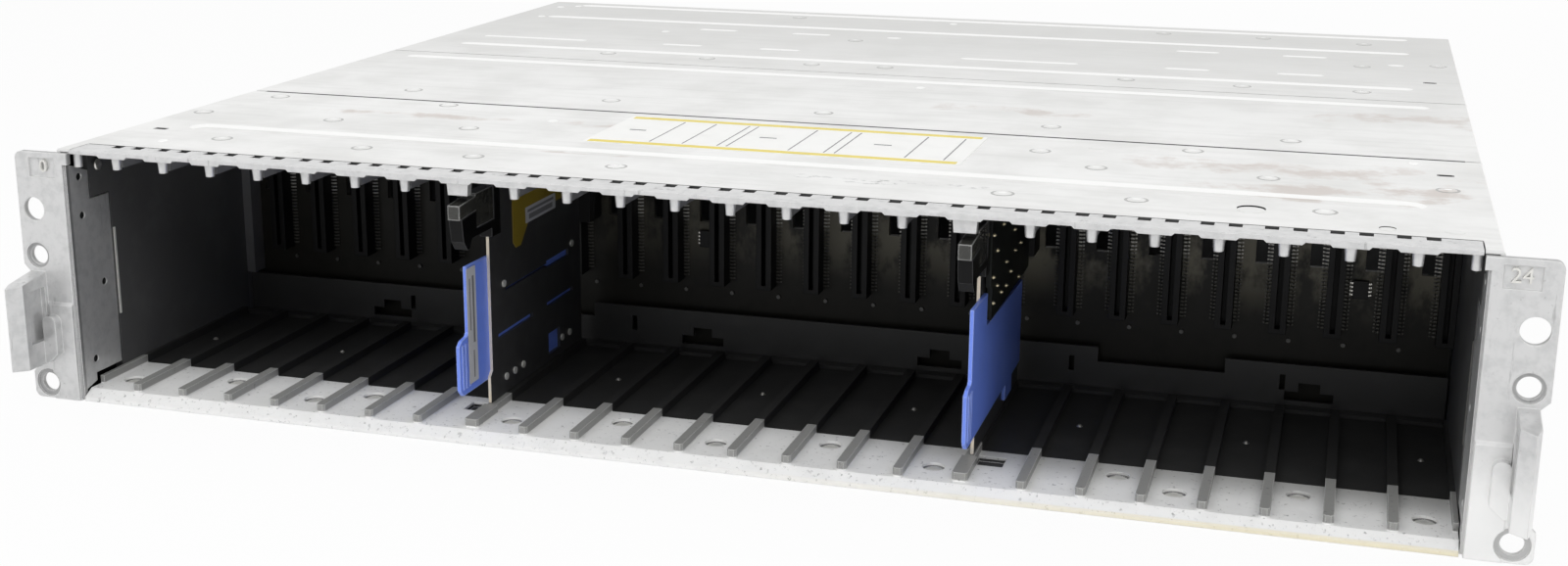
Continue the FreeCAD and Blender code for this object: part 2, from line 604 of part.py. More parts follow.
def make_rear_cover():
    """The cover over the module bays, with long beads and rows of short embosses."""
    sheet_body = cover_sheet("rear_sheet", f"{REAR_SEAM} + cover_gap", "body_depth")
    first = f"{REAR_SEAM} + rear_bead_place"
    rows = (first, f"{first} + rear_bead_step", "body_depth - rear_bead_inset")
    beads = [(("-bead_reach", "bead_reach"), row, "narrow_bead_width") for row in rows]
    front_row = f"{REAR_SEAM} + emboss_place"
    middles = ("-emboss_left", "emboss_pitch - emboss_left", "emboss_right", "emboss_right + emboss_pitch")
    rear_row = f"{front_row} + emboss_step"
    for row in (front_row, rear_row):
        beads += [(about(middle, "emboss_length"), row, "emboss_width") for middle in middles]
    for middle in ("-left_long_emboss", "long_emboss_place"):
        beads.append((about(middle, "long_emboss"), front_row, "emboss_width"))
    beads.append((about("-left_stub_place", "stub_emboss"), rear_row, "emboss_width"))
    stub_row = f"{front_row} + right_stub_step"
    beads.append((about("right_stub_place", "stub_emboss"), stub_row, "emboss_width"))
    slot = block(
        "rear_cover_slot",
        about(f"({HALF} - pan_flange)", "slot_length"),
        about(f"{front_row} - narrow_bead_width", "slot_width"),
        (BEAD_LOW, "body_height + bead_depth"),
    )
    pressed("rear_cover", sheet_body, beads, [slot])


def make_module_bays():
    """Two upright walls and a shelf that divide the rear into four module bays."""
    top = f"{BEAD_LOW} - bay_wall_gap"
    section = [
        (BAY_WALL, "pan_steel"),
        (f"{BAY_WALL} + foot_width", "pan_steel"),
        (f"{BAY_WALL} + foot_width", "2 * pan_steel"),
        (f"{BAY_WALL} + pan_steel", "2 * pan_steel"),
        (f"{BAY_WALL} + pan_steel", top),
        (BAY_WALL, top),
    ]
    right = prism("bay_wall", "y", MODULE_FRONT, MODULE_REAR, section)
    finish_pair("bay_wall", right)
    flange_low = "shelf_place - shelf_flange"
    right_half = [
        (f"{BAY_WALL} - pan_steel", "shelf_place"),
        (f"{BAY_WALL} - pan_steel", flange_low),
        (BAY_WALL, flange_low),
        (BAY_WALL, "shelf_place + pan_steel"),
    ]
    left_half = [(f"-({across})", up) for across, up in reversed(right_half)]
    finish("module_shelf", prism("shelf", "y", MODULE_FRONT, MODULE_REAR, right_half + left_half))


# Drive cage


def make_upper_rail():
    """The cast rail over the bays: a web with slots, tabs and one tapered stud per divider."""
    end = f"({INNER} - strip_end_gap)"
    pieces = [
        block("rail_web", (f"-{end}", end), ("strip_front", "strip_seam"), (STRIP_LOW, "body_height")),
        block(
            "rail_tongue",
            (f"-{end}", end),
            ("strip_front + tab_depth", "pan_relief - seam_gap"),
            (f"{PAN_TOP} - strip_tongue", PAN_TOP),
        ),
    ]
    slots = []
    for k in range(1, BAYS):
        x = divider(k)
        low, high = about(x, "tab_width")
        tab = [
            (low, STRIP_LOW),
            (f"{low} + tab_slope_width", TAB_LOW),
            (f"{high} - tab_slope_width", TAB_LOW),
            (high, STRIP_LOW),
        ]
        pieces.append(prism(f"tab_{k}", "y", "strip_front", "strip_front + tab_depth", tab))
        stud_height = f"{TAB_LOW} - {STUD_TIP}"
        if k in LANES:
            low, high = about(x, "wide_stud")
            narrowing = "stud_root - stud_tip"
            stud = [
                (low, TAB_LOW),
                (f"{low} + {narrowing}", STUD_TIP),
                (f"{high} - ({narrowing})", STUD_TIP),
                (high, TAB_LOW),
            ]
            pieces.append(prism(f"stud_{k}", "y", *about("stud_place", "2 * stud_tip"), stud))
        else:
            tip = (x, "stud_place", STUD_TIP)
            pieces.append(taper(f"stud_{k}", "z", tip, "stud_tip", "stud_root", stud_height))
        for side in SIDES.values():
            place = about(f"{x} + ({side}) * slot_offset", "slot_length")
            deep = ("strip_seam - rail_slot_depth", "strip_seam")
            slots.append(block(f"slot_{k}_{side + 1}", place, deep, (STUD_TIP, "body_height + cover_steel")))
    for name, side in SIDES.items():
        tip = (f"({side}) * ({end} - stud_tip)", "stud_place", STUD_TIP)
        pieces.append(rod(f"{name}_end_stud", "z", tip, "stud_tip", f"{STRIP_LOW} + tab_drop - {STUD_TIP}"))
    finish("upper_guide_rail", cut("upper_rail", fused("upper_rail_cast", pieces), slots))


def make_upper_plate():
    """The dark guide plate under the front cover, with a fin per divider and two lips per card lane."""
    half = f"({HALF} - pan_flange - seam_gap)"
    rear = f"({SOCKET_FRONT} - plate_thickness)"
    web = block("plate_web", (f"-{half}", half), ("pan_relief", rear), (PLATE_LOW, PLATE_TOP))
    pieces = [web]
    for k in range(1, BAYS):
        x = divider(k)
        if k in LANES:
            for side in SIDES.values():
                place = about(f"{x} + ({side}) * lip_offset + {lane_shift(k)}", "plate_thickness")
                height = (f"{STUD_TIP} - lip_drop", PLATE_LOW)
                pieces.append(block(f"lip_{k}_{side + 1}", place, ("lip_front", rear), height))
        else:
            height = (f"{STUD_TIP} + fin_lift", PLATE_LOW)
            pieces.append(block(f"fin_{k}", about(x, "fin_thickness"), ("fin_front", rear), height))
    finish("upper_guide_plate", fused("upper_plate", pieces))


def lane_shift(k):
    """The middle of a card's thickness, which lies outboard of its lane."""
    side = -1 if k == LEFT_LANE else 1
    return f"({side}) * (card_steel + card_board_stand) / 2"


def rib(name, x, width, front, rear):
    """One guide rib with bevelled front corners, rooted in the floor."""
    low, high = about(x, width)
    plan = [
        (low, rear),
        (low, f"{front} + rib_bevel"),
        (f"{low} + rib_bevel", front),
        (f"{high} - rib_bevel", front),
        (high, f"{front} + rib_bevel"),
        (high, rear),
    ]
    return prism(name, "z", "pan_steel", RIB_TOP, plan)


def wall_ribs(name, front, rear):
    """Half ribs against the two side liners."""
    deep = (front, rear)
    high = ("pan_steel", RIB_TOP)
    right = block(f"{name}_right", (f"{INNER} - rib_width / 2", INNER), deep, high)
    left = block(f"{name}_left", (f"-{INNER}", f"rib_width / 2 - {INNER}"), deep, high)
    return [left, right]


def make_sill():
    """The cast sill at the front of the floor, with ribs, latch pockets and screw recesses."""
    side_view = [
        ("sill_front", "0"),
        ("sill_front", "sill_lip"),
        ("sill_slope", "floor_top"),
        ("sill_depth", "floor_top"),
        ("sill_depth", "pan_steel"),
        ("ear_thickness", "pan_steel"),
        ("ear_thickness", "0"),
    ]
    pieces = [prism("sill_slab", "x", f"-{INNER}", INNER, side_view)]
    pieces += wall_ribs("sill_wall_rib", "wall_rib_front", "sill_depth")
    for k in range(1, BAYS):
        front = "wide_rib_end - rib_bevel" if k in LANES else "rib_front"
        pieces.append(rib(f"sill_rib_{k}", divider(k), "rib_width", front, "sill_depth"))
    pockets = []
    for k in LANES:
        pieces.append(rib(f"sill_wide_rib_{k}", divider(k), "wide_rib", "wide_rib_front", "wide_rib_end"))
        near = "rib_width / 2"
        far = "rib_width / 2 + pocket_length"
        place = (f"{divider(k)} + {near}", f"{divider(k)} + {far}")
        if k == LEFT_LANE:
            place = (f"{divider(k)} - ({far})", f"{divider(k)} - {near}")
        deep = ("wide_rib_end", "wide_rib_end + pocket_depth")
        pockets.append(block(f"latch_pocket_{k}", place, deep, ("floor_top - pocket_sink", RIB_TOP)))
    seat = "floor_top - recess_sink"
    recesses = [
        rod(f"screw_recess_{index}", "z", (x, y, seat), "recess_radius", "2 * recess_sink")
        for index, (x, y) in enumerate(sill_screw_places())
    ]
    finish("lower_guide_sill", cut("sill", fused("sill_cast", pieces), pockets + recesses))


def sill_screw_places():
    """The middles of the sill screws, in two rows."""
    front = [(bay_middle(k), "front_row") for k in FRONT_SCREW_BAYS]
    rear = [(bay_middle(k), "rear_row") for k in REAR_SCREW_BAYS]
    return front + rear


def make_floor_plate():
    """The dark plate behind the sill, whose ribs carry on from the sill's."""
    rear = f"({BRACKET_FRONT} - seam_gap)"
    pieces = [block("floor_web", (f"-{INNER}", INNER), ("sill_depth", rear), ("pan_steel", "floor_top"))]
    rib_end = f"({rear} - bracket_toe)"
    pieces += wall_ribs("floor_wall_rib", "sill_depth", rib_end)
    for k in range(1, BAYS):
        wide = about(divider(k), "rib_width")
        pieces.append(block(f"floor_rib_{k}", wide, ("sill_depth", rib_end), ("pan_steel", RIB_TOP)))
    finish("floor_guide_plate", fused("floor_plate", pieces))


def make_floor_fasteners():
    """The screws in the sill and the row of rivets in the floor plate."""
    seat = "floor_top - recess_sink"
    heads = [
        taper(f"sill_screw_{index}", "z", (x, y, seat), "head_radius", "head_radius / 2", "head_height")
        for index, (x, y) in enumerate(sill_screw_places())
    ]
    finish("sill_screws", group("sill_screw_group", heads))
    rivets = []
    for k in range(0, BAYS, 3):
        foot = (bay_middle(k), "floor_rivet_row", "floor_top")
        rivet = taper(f"floor_rivet_{k}", "z", foot, "rivet_radius", "rivet_radius / 2", "rivet_height")
        rivets.append(rivet)
    finish("floor_rivets", group("floor_rivet_group", rivets))


def make_liners():
    """The dark liners in the side walls, each with a ledge under the covers and a nose over the ear block."""
    deep = ("ear_block_depth + seam_gap", "bay_depth - socket_depth")
    plate = block("liner_plate", (INNER, WALL), deep, ("pan_steel", f"{FLANGE_LOW} - seam_gap"))
    ledge = block(
        "liner_ledge",
        (f"{INNER} - fin_thickness", INNER),
        deep,
        (f"{STUD_TIP} + fin_lift", f"{FLANGE_LOW} - seam_gap"),
    )
    nose = block(
        "liner_nose",
        (INNER, WALL),
        ("ear_block_neck + seam_gap", "ear_block_depth + seam_gap"),
        ("ear_block_top + seam_gap", f"{FLANGE_LOW} - seam_gap"),
    )
    right = fused("right_liner", [plate, ledge, nose])
    finish_pair("wall_liner", right)


# Rack ears


EAR_SCREW_PLACES = (
    ("top_screw_depth", "top_screw_place"),
    ("high_screw_depth", "high_screw_place"),
    ("middle_screw_depth", "middle_screw_place"),
    ("low_screw_depth", "low_screw_place"),
)


def make_ears():
    """The cast ears: flange, side block, pull, post and rack holes."""
    hole_x = f"({HALF} + hole_offset)"
    high_hole = "(low_hole + hole_rise)"
    pin_hole = f"({high_hole} + pin_hole_rise)"
    inner_edge = f"{EAR_IN} + ear_edge"
    front_view = [
        (inner_edge, "0"),
        (f"{EAR_OUT} - ear_corner", "0"),
        (EAR_OUT, "ear_corner"),
        (EAR_OUT, "waist_bottom"),
        (f"{EAR_OUT} - ear_waist", "waist_bottom + ear_waist"),
        (f"{EAR_OUT} - ear_waist", "waist_top - ear_waist"),
        (EAR_OUT, "waist_top"),
        (EAR_OUT, f"{EAR_TOP} - ear_corner"),
        (f"{EAR_OUT} - ear_corner", EAR_TOP),
        (f"{EAR_IN} - ear_tab", EAR_TOP),
        (f"{EAR_IN} - ear_tab", f"{EAR_TOP} - ear_tab_height"),
        (inner_edge, f"{EAR_TOP} - ear_tab_height"),
    ]
    flange = prism("ear_flange", "y", "0", "ear_thickness", front_view)
    corners = [
        rod(f"ear_corner_{name}", "y", (f"{EAR_OUT} - ear_corner", "0", z), "ear_corner", "ear_thickness")
        for name, z in (("low", "ear_corner"), ("high", f"{EAR_TOP} - ear_corner"))
    ]
    foot = "wall_rib_front - ear_foot_gap"
    block_top = f"{FLANGE_LOW} - ear_block_drop"
    block_view = [
        ("ear_edge", "ear_edge"),
        ("ear_thickness", "ear_edge"),
        ("ear_thickness", "floor_top"),
        (foot, "floor_top + ear_foot_gap"),
        (foot, f"{RIB_TOP} + ear_foot_gap"),
        ("ear_block_depth", f"{RIB_TOP} + ear_foot_gap"),
        ("ear_block_depth", "ear_block_top"),
        ("ear_block_neck", "ear_block_top"),
        ("ear_block_neck", f"{block_top} - ear_block_fall"),
        ("ear_thickness", block_top),
        ("ear_edge", block_top),
    ]
    side_block = prism("ear_block", "x", EAR_IN, WALL, block_view)
    apron_view = [
        ("ear_thickness", "ear_gap"),
        ("ear_thickness", "apron_height"),
        ("0", "apron_height"),
        ("-apron_lift", "apron_height - apron_lift"),
        ("-apron_lift", "ear_gap"),
    ]
    apron = prism("ear_apron", "x", f"{inner_edge} + ear_gap", f"{HALF} + apron_width", apron_view)
    pull_low = f"{HALF} + pull_offset"
    pull_plan = [
        (pull_low, "ear_thickness"),
        (pull_low, "-pull_shoulder"),
        (f"{pull_low} + pull_tip", "-pull_reach"),
        (f"{pull_low} + pull_thickness", "pull_nose - pull_reach"),
        (f"{pull_low} + pull_thickness", "ear_thickness"),
    ]
    pull_bar = prism("ear_pull_bar", "z", "pull_bottom", "pull_top + pull_rise", pull_plan)
    slope_view = [
        ("0", "pull_top + pull_rise"),
        ("-pull_reach", "pull_top"),
        ("-2 * pull_reach", "pull_top"),
        ("-2 * pull_reach", "pull_top + 2 * pull_rise"),
        ("0", "pull_top + 2 * pull_rise"),
    ]
    slope = prism("ear_pull_slope", "x", HALF, EAR_OUT, slope_view)
    pocket = block(
        "ear_pull_pocket",
        (f"{pull_low} - pull_pocket", f"{pull_low} + pull_pocket"),
        ("pull_lip - pull_shoulder", "-pull_lip / 2"),
        ("pull_bottom + pull_pocket_foot", "pull_top - pull_lip"),
    )
    pull = cut("ear_pull", pull_bar, [slope, pocket])
    post_low = f"{pull_low} - post_width"
    post_middle = f"{pull_low} - post_width / 2"
    round_start = "post_top - post_width / 2"
    post_view = [
        (post_low, round_start),
        (post_low, "post_bottom + post_taper"),
        (f"{pull_low} - post_width / 4", "post_bottom"),
        (pull_low, "post_bottom"),
        (pull_low, round_start),
    ]
    post_start = (post_middle, "-post_reach", round_start)
    post = [
        prism("ear_post", "y", "-post_reach", "ear_thickness", post_view),
        rod("ear_post_top", "y", post_start, "post_width / 2", "post_reach + ear_thickness"),
    ]
    reach = "2 * (ear_thickness + apron_lift)"
    sink = "ear_thickness + spot_sink"
    holes = [
        rod("pin_hole", "y", (hole_x, "-ear_thickness", pin_hole), "pin_hole_radius", reach),
        rod("high_hole", "y", (hole_x, "-ear_thickness", high_hole), "hole_radius", reach),
        rod("high_spot", "y", (hole_x, "-ear_thickness", high_hole), "high_spot_radius", sink),
        rod("low_hole", "y", (hole_x, "-ear_thickness", "low_hole"), "hole_radius", reach),
        rod("low_spot", "y", (hole_x, "-ear_thickness", "low_hole"), "low_spot_radius", sink),
        block(
            "number_recess",
            (f"{HALF} - ear_gap", f"{HALF} - ear_gap + number_width"),
            ("-number_sink", "number_sink"),
            ("number_place", "number_place + number_height"),
        ),
    ]
    for index, (y, z) in enumerate(EAR_SCREW_PLACES):
        start = (f"{EAR_IN} - ear_gap", y, z)
        holes.append(rod(f"ear_bore_{index}", "x", start, "ear_bore", f"{WALL} - {EAR_IN}"))
    right = cut("right_ear", fused("ear_cast", [flange, *corners, side_block, apron, pull, *post]), holes)
    finish_pair("ear", right)


def make_ear_screws():
    """The screws through the side walls that hold the ear blocks."""
    heads = []
    for name, side in SIDES.items():
        start = HALF if side > 0 else f"-{HALF} - ear_screw_height"
        for index, (y, z) in enumerate(EAR_SCREW_PLACES):
            head = f"{name}_ear_screw_{index}"
            heads.append(rod(head, "x", (start, y, z), "ear_screw_radius", "ear_screw_height"))
    finish("ear_screws", group("ear_screw_group", heads))


# Midplane


def make_midplane_board():
    """The midplane with one air opening behind each bay."""
    half = f"({INNER} - board_margin)"
    board = block(
        "board_blank",
        (f"-{half}", half),
        ("bay_depth", BOARD_REAR),
        ("2 * pan_steel", f"{FLANGE_LOW} - board_gap"),
    )
    vents = [
        block(
            f"vent_{k}",
            about(bay_middle(k), "vent_width"),
            ("bay_depth - board_thickness", f"{BOARD_REAR} + board_thickness"),
            ("vent_bottom", "vent_bottom + vent_height"),
        )
        for k in range(BAYS)
    ]
    finish("midplane_board", cut("board", board, vents))


def connector(name, x, width, front, z):
    """A connector on the midplane's front, with a slot along it."""
    low, high = z
    shell = block(f"{name}_shell", about(x, width), (front, "bay_depth"), z)
    slot = block(
        f"{name}_slot",
        about(x, "socket_slot"),
        (front, f"{front} + socket_slot_depth"),
        (f"{low} + socket_slot", f"{high} - socket_slot"),
    )
    return cut(name, shell, [slot])


def make_connectors():
    """The drive connectors, the sockets behind the cards and the module connectors on the rear."""
    upright = ("socket_bottom", "socket_bottom + socket_length")
    drives = [
        connector(f"drive_socket_{k}", socket_middle(k), "socket_width", SOCKET_FRONT, upright)
        for k in range(BAYS)
    ]
    finish("drive_connectors", group("drive_socket_group", drives))
    card_z = (f"{CARD_TOP} - plug_drop - plug_height", f"{CARD_TOP} - plug_drop")
    cards = [
        block(f"{name}_card_socket", plug_across(side), (SOCKET_FRONT, "bay_depth"), card_z)
        for name, side in SIDES.items()
    ]
    finish("card_sockets", group("card_socket_group", cards))
    side_bay = f"({BAY_WALL} + side_bay_width / 2)"
    places = [
        (f"-{side_bay}", "shelf_place"),
        (side_bay, "shelf_place"),
        ("0", "shelf_place / 2"),
        ("0", "shelf_place * 3 / 2"),
    ]
    modules = [
        block(
            f"module_socket_{index}",
            about(x, "module_socket_width"),
            (BOARD_REAR, f"{BOARD_REAR} + module_socket_depth"),
            about(z, "module_socket_height"),
        )
        for index, (x, z) in enumerate(places)
    ]
    finish("module_connectors", group("module_socket_group", modules))


def make_brackets():
    """The steel brackets that hold the midplane's lower edge, upper edge and ends."""
    rear = f"{BRACKET_FRONT} + bracket_foot"
    face = f"{BRACKET_FRONT} + pan_steel"
    lower_view = [
        (BRACKET_FRONT, "pan_steel"),
        (rear, "pan_steel"),
        (rear, "2 * pan_steel"),
        (face, "2 * pan_steel"),
        (face, "bracket_height"),
        (BRACKET_FRONT, "bracket_height"),
        (BRACKET_FRONT, "floor_top + pan_steel"),
        (f"{BRACKET_FRONT} - bracket_toe", "floor_top + pan_steel"),
        (f"{BRACKET_FRONT} - bracket_toe", "floor_top"),
        (BRACKET_FRONT, "floor_top"),
    ]
    end = f"({INNER} - board_margin)"
    lower = prism("lower_bracket_rail", "x", f"-{end}", end, lower_view)
    deep = (f"{BRACKET_FRONT} - pan_steel", f"{face} + pan_steel")
    openings = []
    for x in ("-left_notch_place", "right_notch_place"):
        high = ("bracket_height - bracket_notch", "bracket_height + bracket_notch")
        openings.append(block(f"bracket_notch_{len(openings)}", about(x, "bracket_notch_width"), deep, high))
    for k in BRACKET_SLOT_DIVIDERS:
        high = about("bracket_slot_place", "bracket_slot_height")
        openings.append(block(f"bracket_slot_{k}", about(divider(k), "bracket_slot_width"), deep, high))
    for k in BRACKET_HOOK_BAYS:
        low = "hook_hole_low"
        for step, width in enumerate(("hook_hole_width", "hook_neck_width")):
            high = (low, f"hook_hole_low + {step + 1} * hook_hole_step")
            openings.append(block(f"hook_hole_{k}_{step}", about(bay_middle(k), width), deep, high))
    finish("midplane_lower_bracket", cut("lower_bracket", lower, openings))
    half = f"({HALF} - pan_flange - seam_gap)"
    leg_rear = f"{BOARD_REAR} + pan_steel"
    upper_view = [
        (SOCKET_FRONT, FLANGE_LOW),
        (BOARD_REAR, FLANGE_LOW),
        (BOARD_REAR, f"{FLANGE_LOW} - bracket_leg"),
        (leg_rear, f"{FLANGE_LOW} - bracket_leg"),
        (leg_rear, PAN_TOP),
        (SOCKET_FRONT, PAN_TOP),
    ]
    finish("midplane_upper_bracket", prism("upper_bracket", "x", f"-{half}", half, upper_view))
    height = ("bracket_height + seam_gap", f"{FLANGE_LOW} - board_gap")
    deep = (SOCKET_FRONT, "bay_depth")
    foot = ("pan_steel", height[0])
    left_post = [
        block("left_post_bar", (f"-{WALL}", f"post_side - {WALL}"), deep, height),
        block("left_post_foot", (f"-{WALL}", f"-{EAR_IN}"), deep, foot),
    ]
    right_post = [
        block("right_post_bar", (EAR_IN, WALL), deep, height),
        block("right_post_foot", (EAR_IN, WALL), deep, foot),
    ]
    posts = [fused("left_post", left_post), fused("right_post", right_post)]
    finish("midplane_posts", group("midplane_post_group", posts))


def make_board_details():
    """The screws below the drive connectors and the chips on the board."""
    screws = []
    for k in range(1, BAYS):
        x = f"{bay_left(k)} + board_screw_offset"
        start = (x, "bay_depth - board_screw_height", "socket_bottom - board_screw_drop")
        screws.append(rod(f"board_screw_{k}", "y", start, "board_screw_radius", "board_screw_height"))
    finish("midplane_screws", group("board_screw_group", screws))
    thick = ("bay_depth - chip_thickness", "bay_depth")
    high = ("vent_bottom - chip_height * 3 / 2", "vent_bottom - chip_height / 2")
    left = f"({bay_left(CHIP_BAYS[0])} + 1.8 * chip_width)"
    right = f"({bay_left(CHIP_BAYS[1])} + chip_width)"
    chips = [
        block("left_chip", about(left, "chip_width"), thick, high),
        block("right_chip", about(right, "chip_width"), thick, high),
    ]
    finish("board_chips", group("chip_group", chips))


# Service cards


def card_across(side, low, high):
    """Places across a card, counted outwards from the inner face of its plate."""
    inner = f"{LANE} + card_offset"
    if side > 0:
        return f"{inner} + {low}", f"{inner} + {high}"
    return f"-({inner} + {high})", f"-({inner} + {low})"


def plug_across(side):
    """Where a card plug lies across the case: each starts at the left face of its plate."""
    low = card_across(side, "0", "card_steel")[0]
    return low, f"{low} + plug_width"


def card_window(name, side, y, z):
    """A tool that opens a window in a card plate."""
    return block(name, card_across(side, "-card_steel", "2 * card_steel"), y, z)


def make_card_plate(name, side):
    """The steel plate that runs in the guides, with a toe at its foot and windows to the tag."""
    side_view = [
        ("card_front - card_toe", CARD_LOW),
        ("card_front - card_toe", f"{CARD_LOW} + card_toe_height"),
        ("card_front", f"{CARD_LOW} + card_toe_height + card_toe"),
        ("card_front", HOLDER_LOW),
        ("card_front + holder_depth", HOLDER_LOW),
        ("card_front + holder_depth", CARD_TOP),
        (CARD_REAR, CARD_TOP),
        (CARD_REAR, CARD_LOW),
    ]
    plate = prism(f"{name}_plate_blank", "x", *card_across(side, "0", "card_steel"), side_view)
    upper_place = f"{TAG_LOW} + upper_window_place"
    low_row = about(f"{TAG_LOW} + middle_window_place", "low_window_height")
    upper_end = f"{TAG_REAR} - upper_window_rear"
    upper_start = f"{upper_end} - upper_window_length"
    middle_start = "card_front + middle_window_front"
    rear_end = f"{TAG_REAR} - window_margin"
    key_front = f"{TAG_REAR} - key_place - key_length + card_board_gap"
    places = {
        "slit": (("card_front + upper_window_front", upper_start), about(upper_place, "slit_height")),
        "upper": ((upper_start, upper_end), about(upper_place, "window_height")),
        "middle": ((middle_start, f"{middle_start} + middle_window_length"), low_row),
        "rear": ((f"{rear_end} - rear_window_length", rear_end), low_row),
        "key": (
            (key_front, f"{key_front} + key_window"),
            (f"{TAG_LOW} - key_drop", f"{TAG_LOW} + tag_bevel"),
        ),
    }
    windows = [card_window(f"{name}_{place}_window", side, *spans) for place, spans in places.items()]
    finish(f"{name}_card_plate", cut(f"{name}_plate", plate, windows))


def make_card_board(name, side):
    """The card's circuit board on the outer side of its plate, with its spacers and plug."""
    stand_off = "card_steel + card_board_stand"
    top = f"{CARD_TOP} - plate_thickness"
    low = f"{TAG_LOW} + tag_rail + card_board_gap"
    side_view = [
        ("tag_shoulder + card_board_gap", low),
        ("tag_shoulder + card_board_gap", f"{TAG_TOP} + card_board_gap"),
        ("card_front + holder_depth", f"{TAG_TOP} + card_board_gap"),
        ("card_front + holder_depth", top),
        (CARD_REAR, top),
        (CARD_REAR, low),
    ]
    thick = card_across(side, stand_off, f"{stand_off} + card_board_thickness")
    finish(f"{name}_card_board", prism(f"{name}_board", "x", *thick, side_view))
    start = card_across(side, "card_steel", stand_off)[0]
    places = [
        (y, z)
        for y in ("tag_shoulder + 4 * spacer_radius", f"{CARD_REAR} - 3 * spacer_radius")
        for z in (f"{low} + 2 * spacer_radius", f"{top} - 3 * spacer_radius")
    ]
    spacers = [
        rod(f"{name}_spacer_{index}", "x", (start, y, z), "spacer_radius", "card_board_stand")
        for index, (y, z) in enumerate(places)
    ]
    finish(f"{name}_card_spacers", group(f"{name}_spacer_group", spacers))
    plug_top = f"{CARD_TOP} - plug_drop"
    plug_view = [
        (CARD_REAR, f"{plug_top} - plug_height"),
        (f"{CARD_REAR} + plug_length", f"{plug_top} - plug_height"),
        (f"{CARD_REAR} + plug_length", plug_top),
        (CARD_REAR, plug_top),
    ]
    finish(f"{name}_card_plug", prism(f"{name}_plug", "x", *plug_across(side), plug_view))


def make_insulator(name, side):
    """The thin insulating sheet on the inner face of a card plate, with a lobe at its front."""
    front = "card_front + sheet_inset"
    rear = f"{CARD_REAR} - sheet_margin"
    top = f"{CARD_TOP} - plate_thickness"
    foot = f"{HOLDER_LOW} - sheet_lobe"
    side_view = [
        (front, top),
        (front, f"{foot} + sheet_corner"),
        (f"{front} + sheet_corner", foot),
        (f"{front} + sheet_lobe_width", foot),
        (f"{front} + sheet_lobe_width + sheet_lobe", HOLDER_LOW),
        (rear, HOLDER_LOW),
        (rear, top),
    ]
    thick = card_across(side, "-sheet_thickness", "0")
    finish(f"{name}_insulator", prism(f"{name}_sheet", "x", *thick, side_view))


def make_pull_tag(name, side):
    """The moulded tag that carries the card: grip, upper strip, a rail along the plate and a key."""
    grip_top = f"{TAG_LOW} + grip_height"
    key_rear = f"{TAG_REAR} - key_place"
    key_low = f"{TAG_LOW} - key_drop"
    side_view = [
        ("grip_front", f"{TAG_LOW} + tag_bevel"),
        ("grip_front", f"{grip_top} - tag_bevel"),
        ("grip_front + tag_bevel", f"{grip_top} - tag_bevel / 4"),
        ("tag_front - tag_bevel / 2", grip_top),
        ("tag_front", f"{grip_top} + tag_bevel / 2"),
        ("tag_front", TAG_TOP),
        ("tag_shoulder", f"{TAG_TOP} - tag_bevel / 4"),
        ("tag_shoulder", f"{TAG_LOW} + tag_rail"),
        (TAG_REAR, f"{TAG_LOW} + tag_rail - tag_bevel"),
        (TAG_REAR, TAG_LOW),
        (key_rear, TAG_LOW),
        (key_rear, key_low),
        (f"{key_rear} - key_length", key_low),
        (f"{key_rear} - key_length", TAG_LOW),
        ("grip_front + tag_bevel", TAG_LOW),
    ]
    outer = "card_steel + tag_thickness"
    plate = prism(f"{name}_tag_plate", "x", *card_across(side, "card_steel", outer), side_view)
    faces = {"inner": ("card_steel - grip_rib", "card_steel"), "outer": (outer, f"{outer} + grip_rib")}
    upright = (f"{TAG_LOW} + tag_bevel", f"{grip_top} - tag_bevel")
    ribs = []
    for face, across in faces.items():
        for index in range(3):
            y = about(f"grip_front + {index + 1} * grip_rib_pitch", "grip_rib_pitch / 2")
            ribs.append(block(f"{name}_grip_rib_{face}_{index}", card_across(side, *across), y, upright))
    finish(f"{name}_pull_tag", fused(f"{name}_tag", [plate, *ribs]))


def make_light_pipe(name, side):
    """The clear light pipe at the top of a card and the black holder that hooks under it."""
    middle = "card_steel / 2"
    top = f"{CARD_TOP} - pipe_drop"
    tip_top = f"{top} - pipe_rise"
    tip_low = f"{tip_top} - pipe_rise - pipe_height"
    seat = f"{top} - pipe_tall"
    rear = "card_front + holder_depth - pipe_height"
    pipe_view = [
        ("pipe_front", tip_low),
        ("pipe_front", f"{tip_top} - pipe_rise"),
        ("pipe_step", tip_top),
        ("pipe_step", top),
        (rear, top),
        (rear, seat),
        ("pipe_step", seat),
        ("pipe_step", f"{tip_low} + pipe_rise"),
    ]
    half = "pipe_width / 2"
    thick = card_across(side, f"{middle} - {half}", f"{middle} + {half}")
    finish(f"{name}_light_pipe", prism(f"{name}_pipe", "x", *thick, pipe_view))
    hook = "pipe_front + pipe_height"
    hook_tip = f"{hook} - hook_lean"
    holder_rear = "card_front + holder_depth"
    holder_view = [
        (hook, HOLDER_LOW),
        (f"{hook} + hook_width", HOLDER_LOW),
        (f"{hook} + 2 * hook_width", f"{HOLDER_LOW} + holder_wall"),
        ("card_front - plate_thickness", f"{HOLDER_LOW} + holder_wall"),
        ("card_front - plate_thickness", HOLDER_LOW),
        (holder_rear, HOLDER_LOW),
        (holder_rear, top),
        (rear, top),
        (rear, seat),
        ("pipe_step", seat),
        ("pipe_step", f"{tip_low} + pipe_rise"),
        (hook_tip, f"{tip_low} + pipe_rise * ({hook_tip} - pipe_front) / (pipe_step - pipe_front)"),
        (f"{hook} - hook_lean * 2 / 3", f"{HOLDER_LOW} + holder_wall"),
    ]
    half = "holder_width / 2"
    thick = card_across(side, f"{middle} - {half}", f"{middle} + {half}")
    finish(f"{name}_pipe_holder", prism(f"{name}_holder", "x", *thick, holder_view))


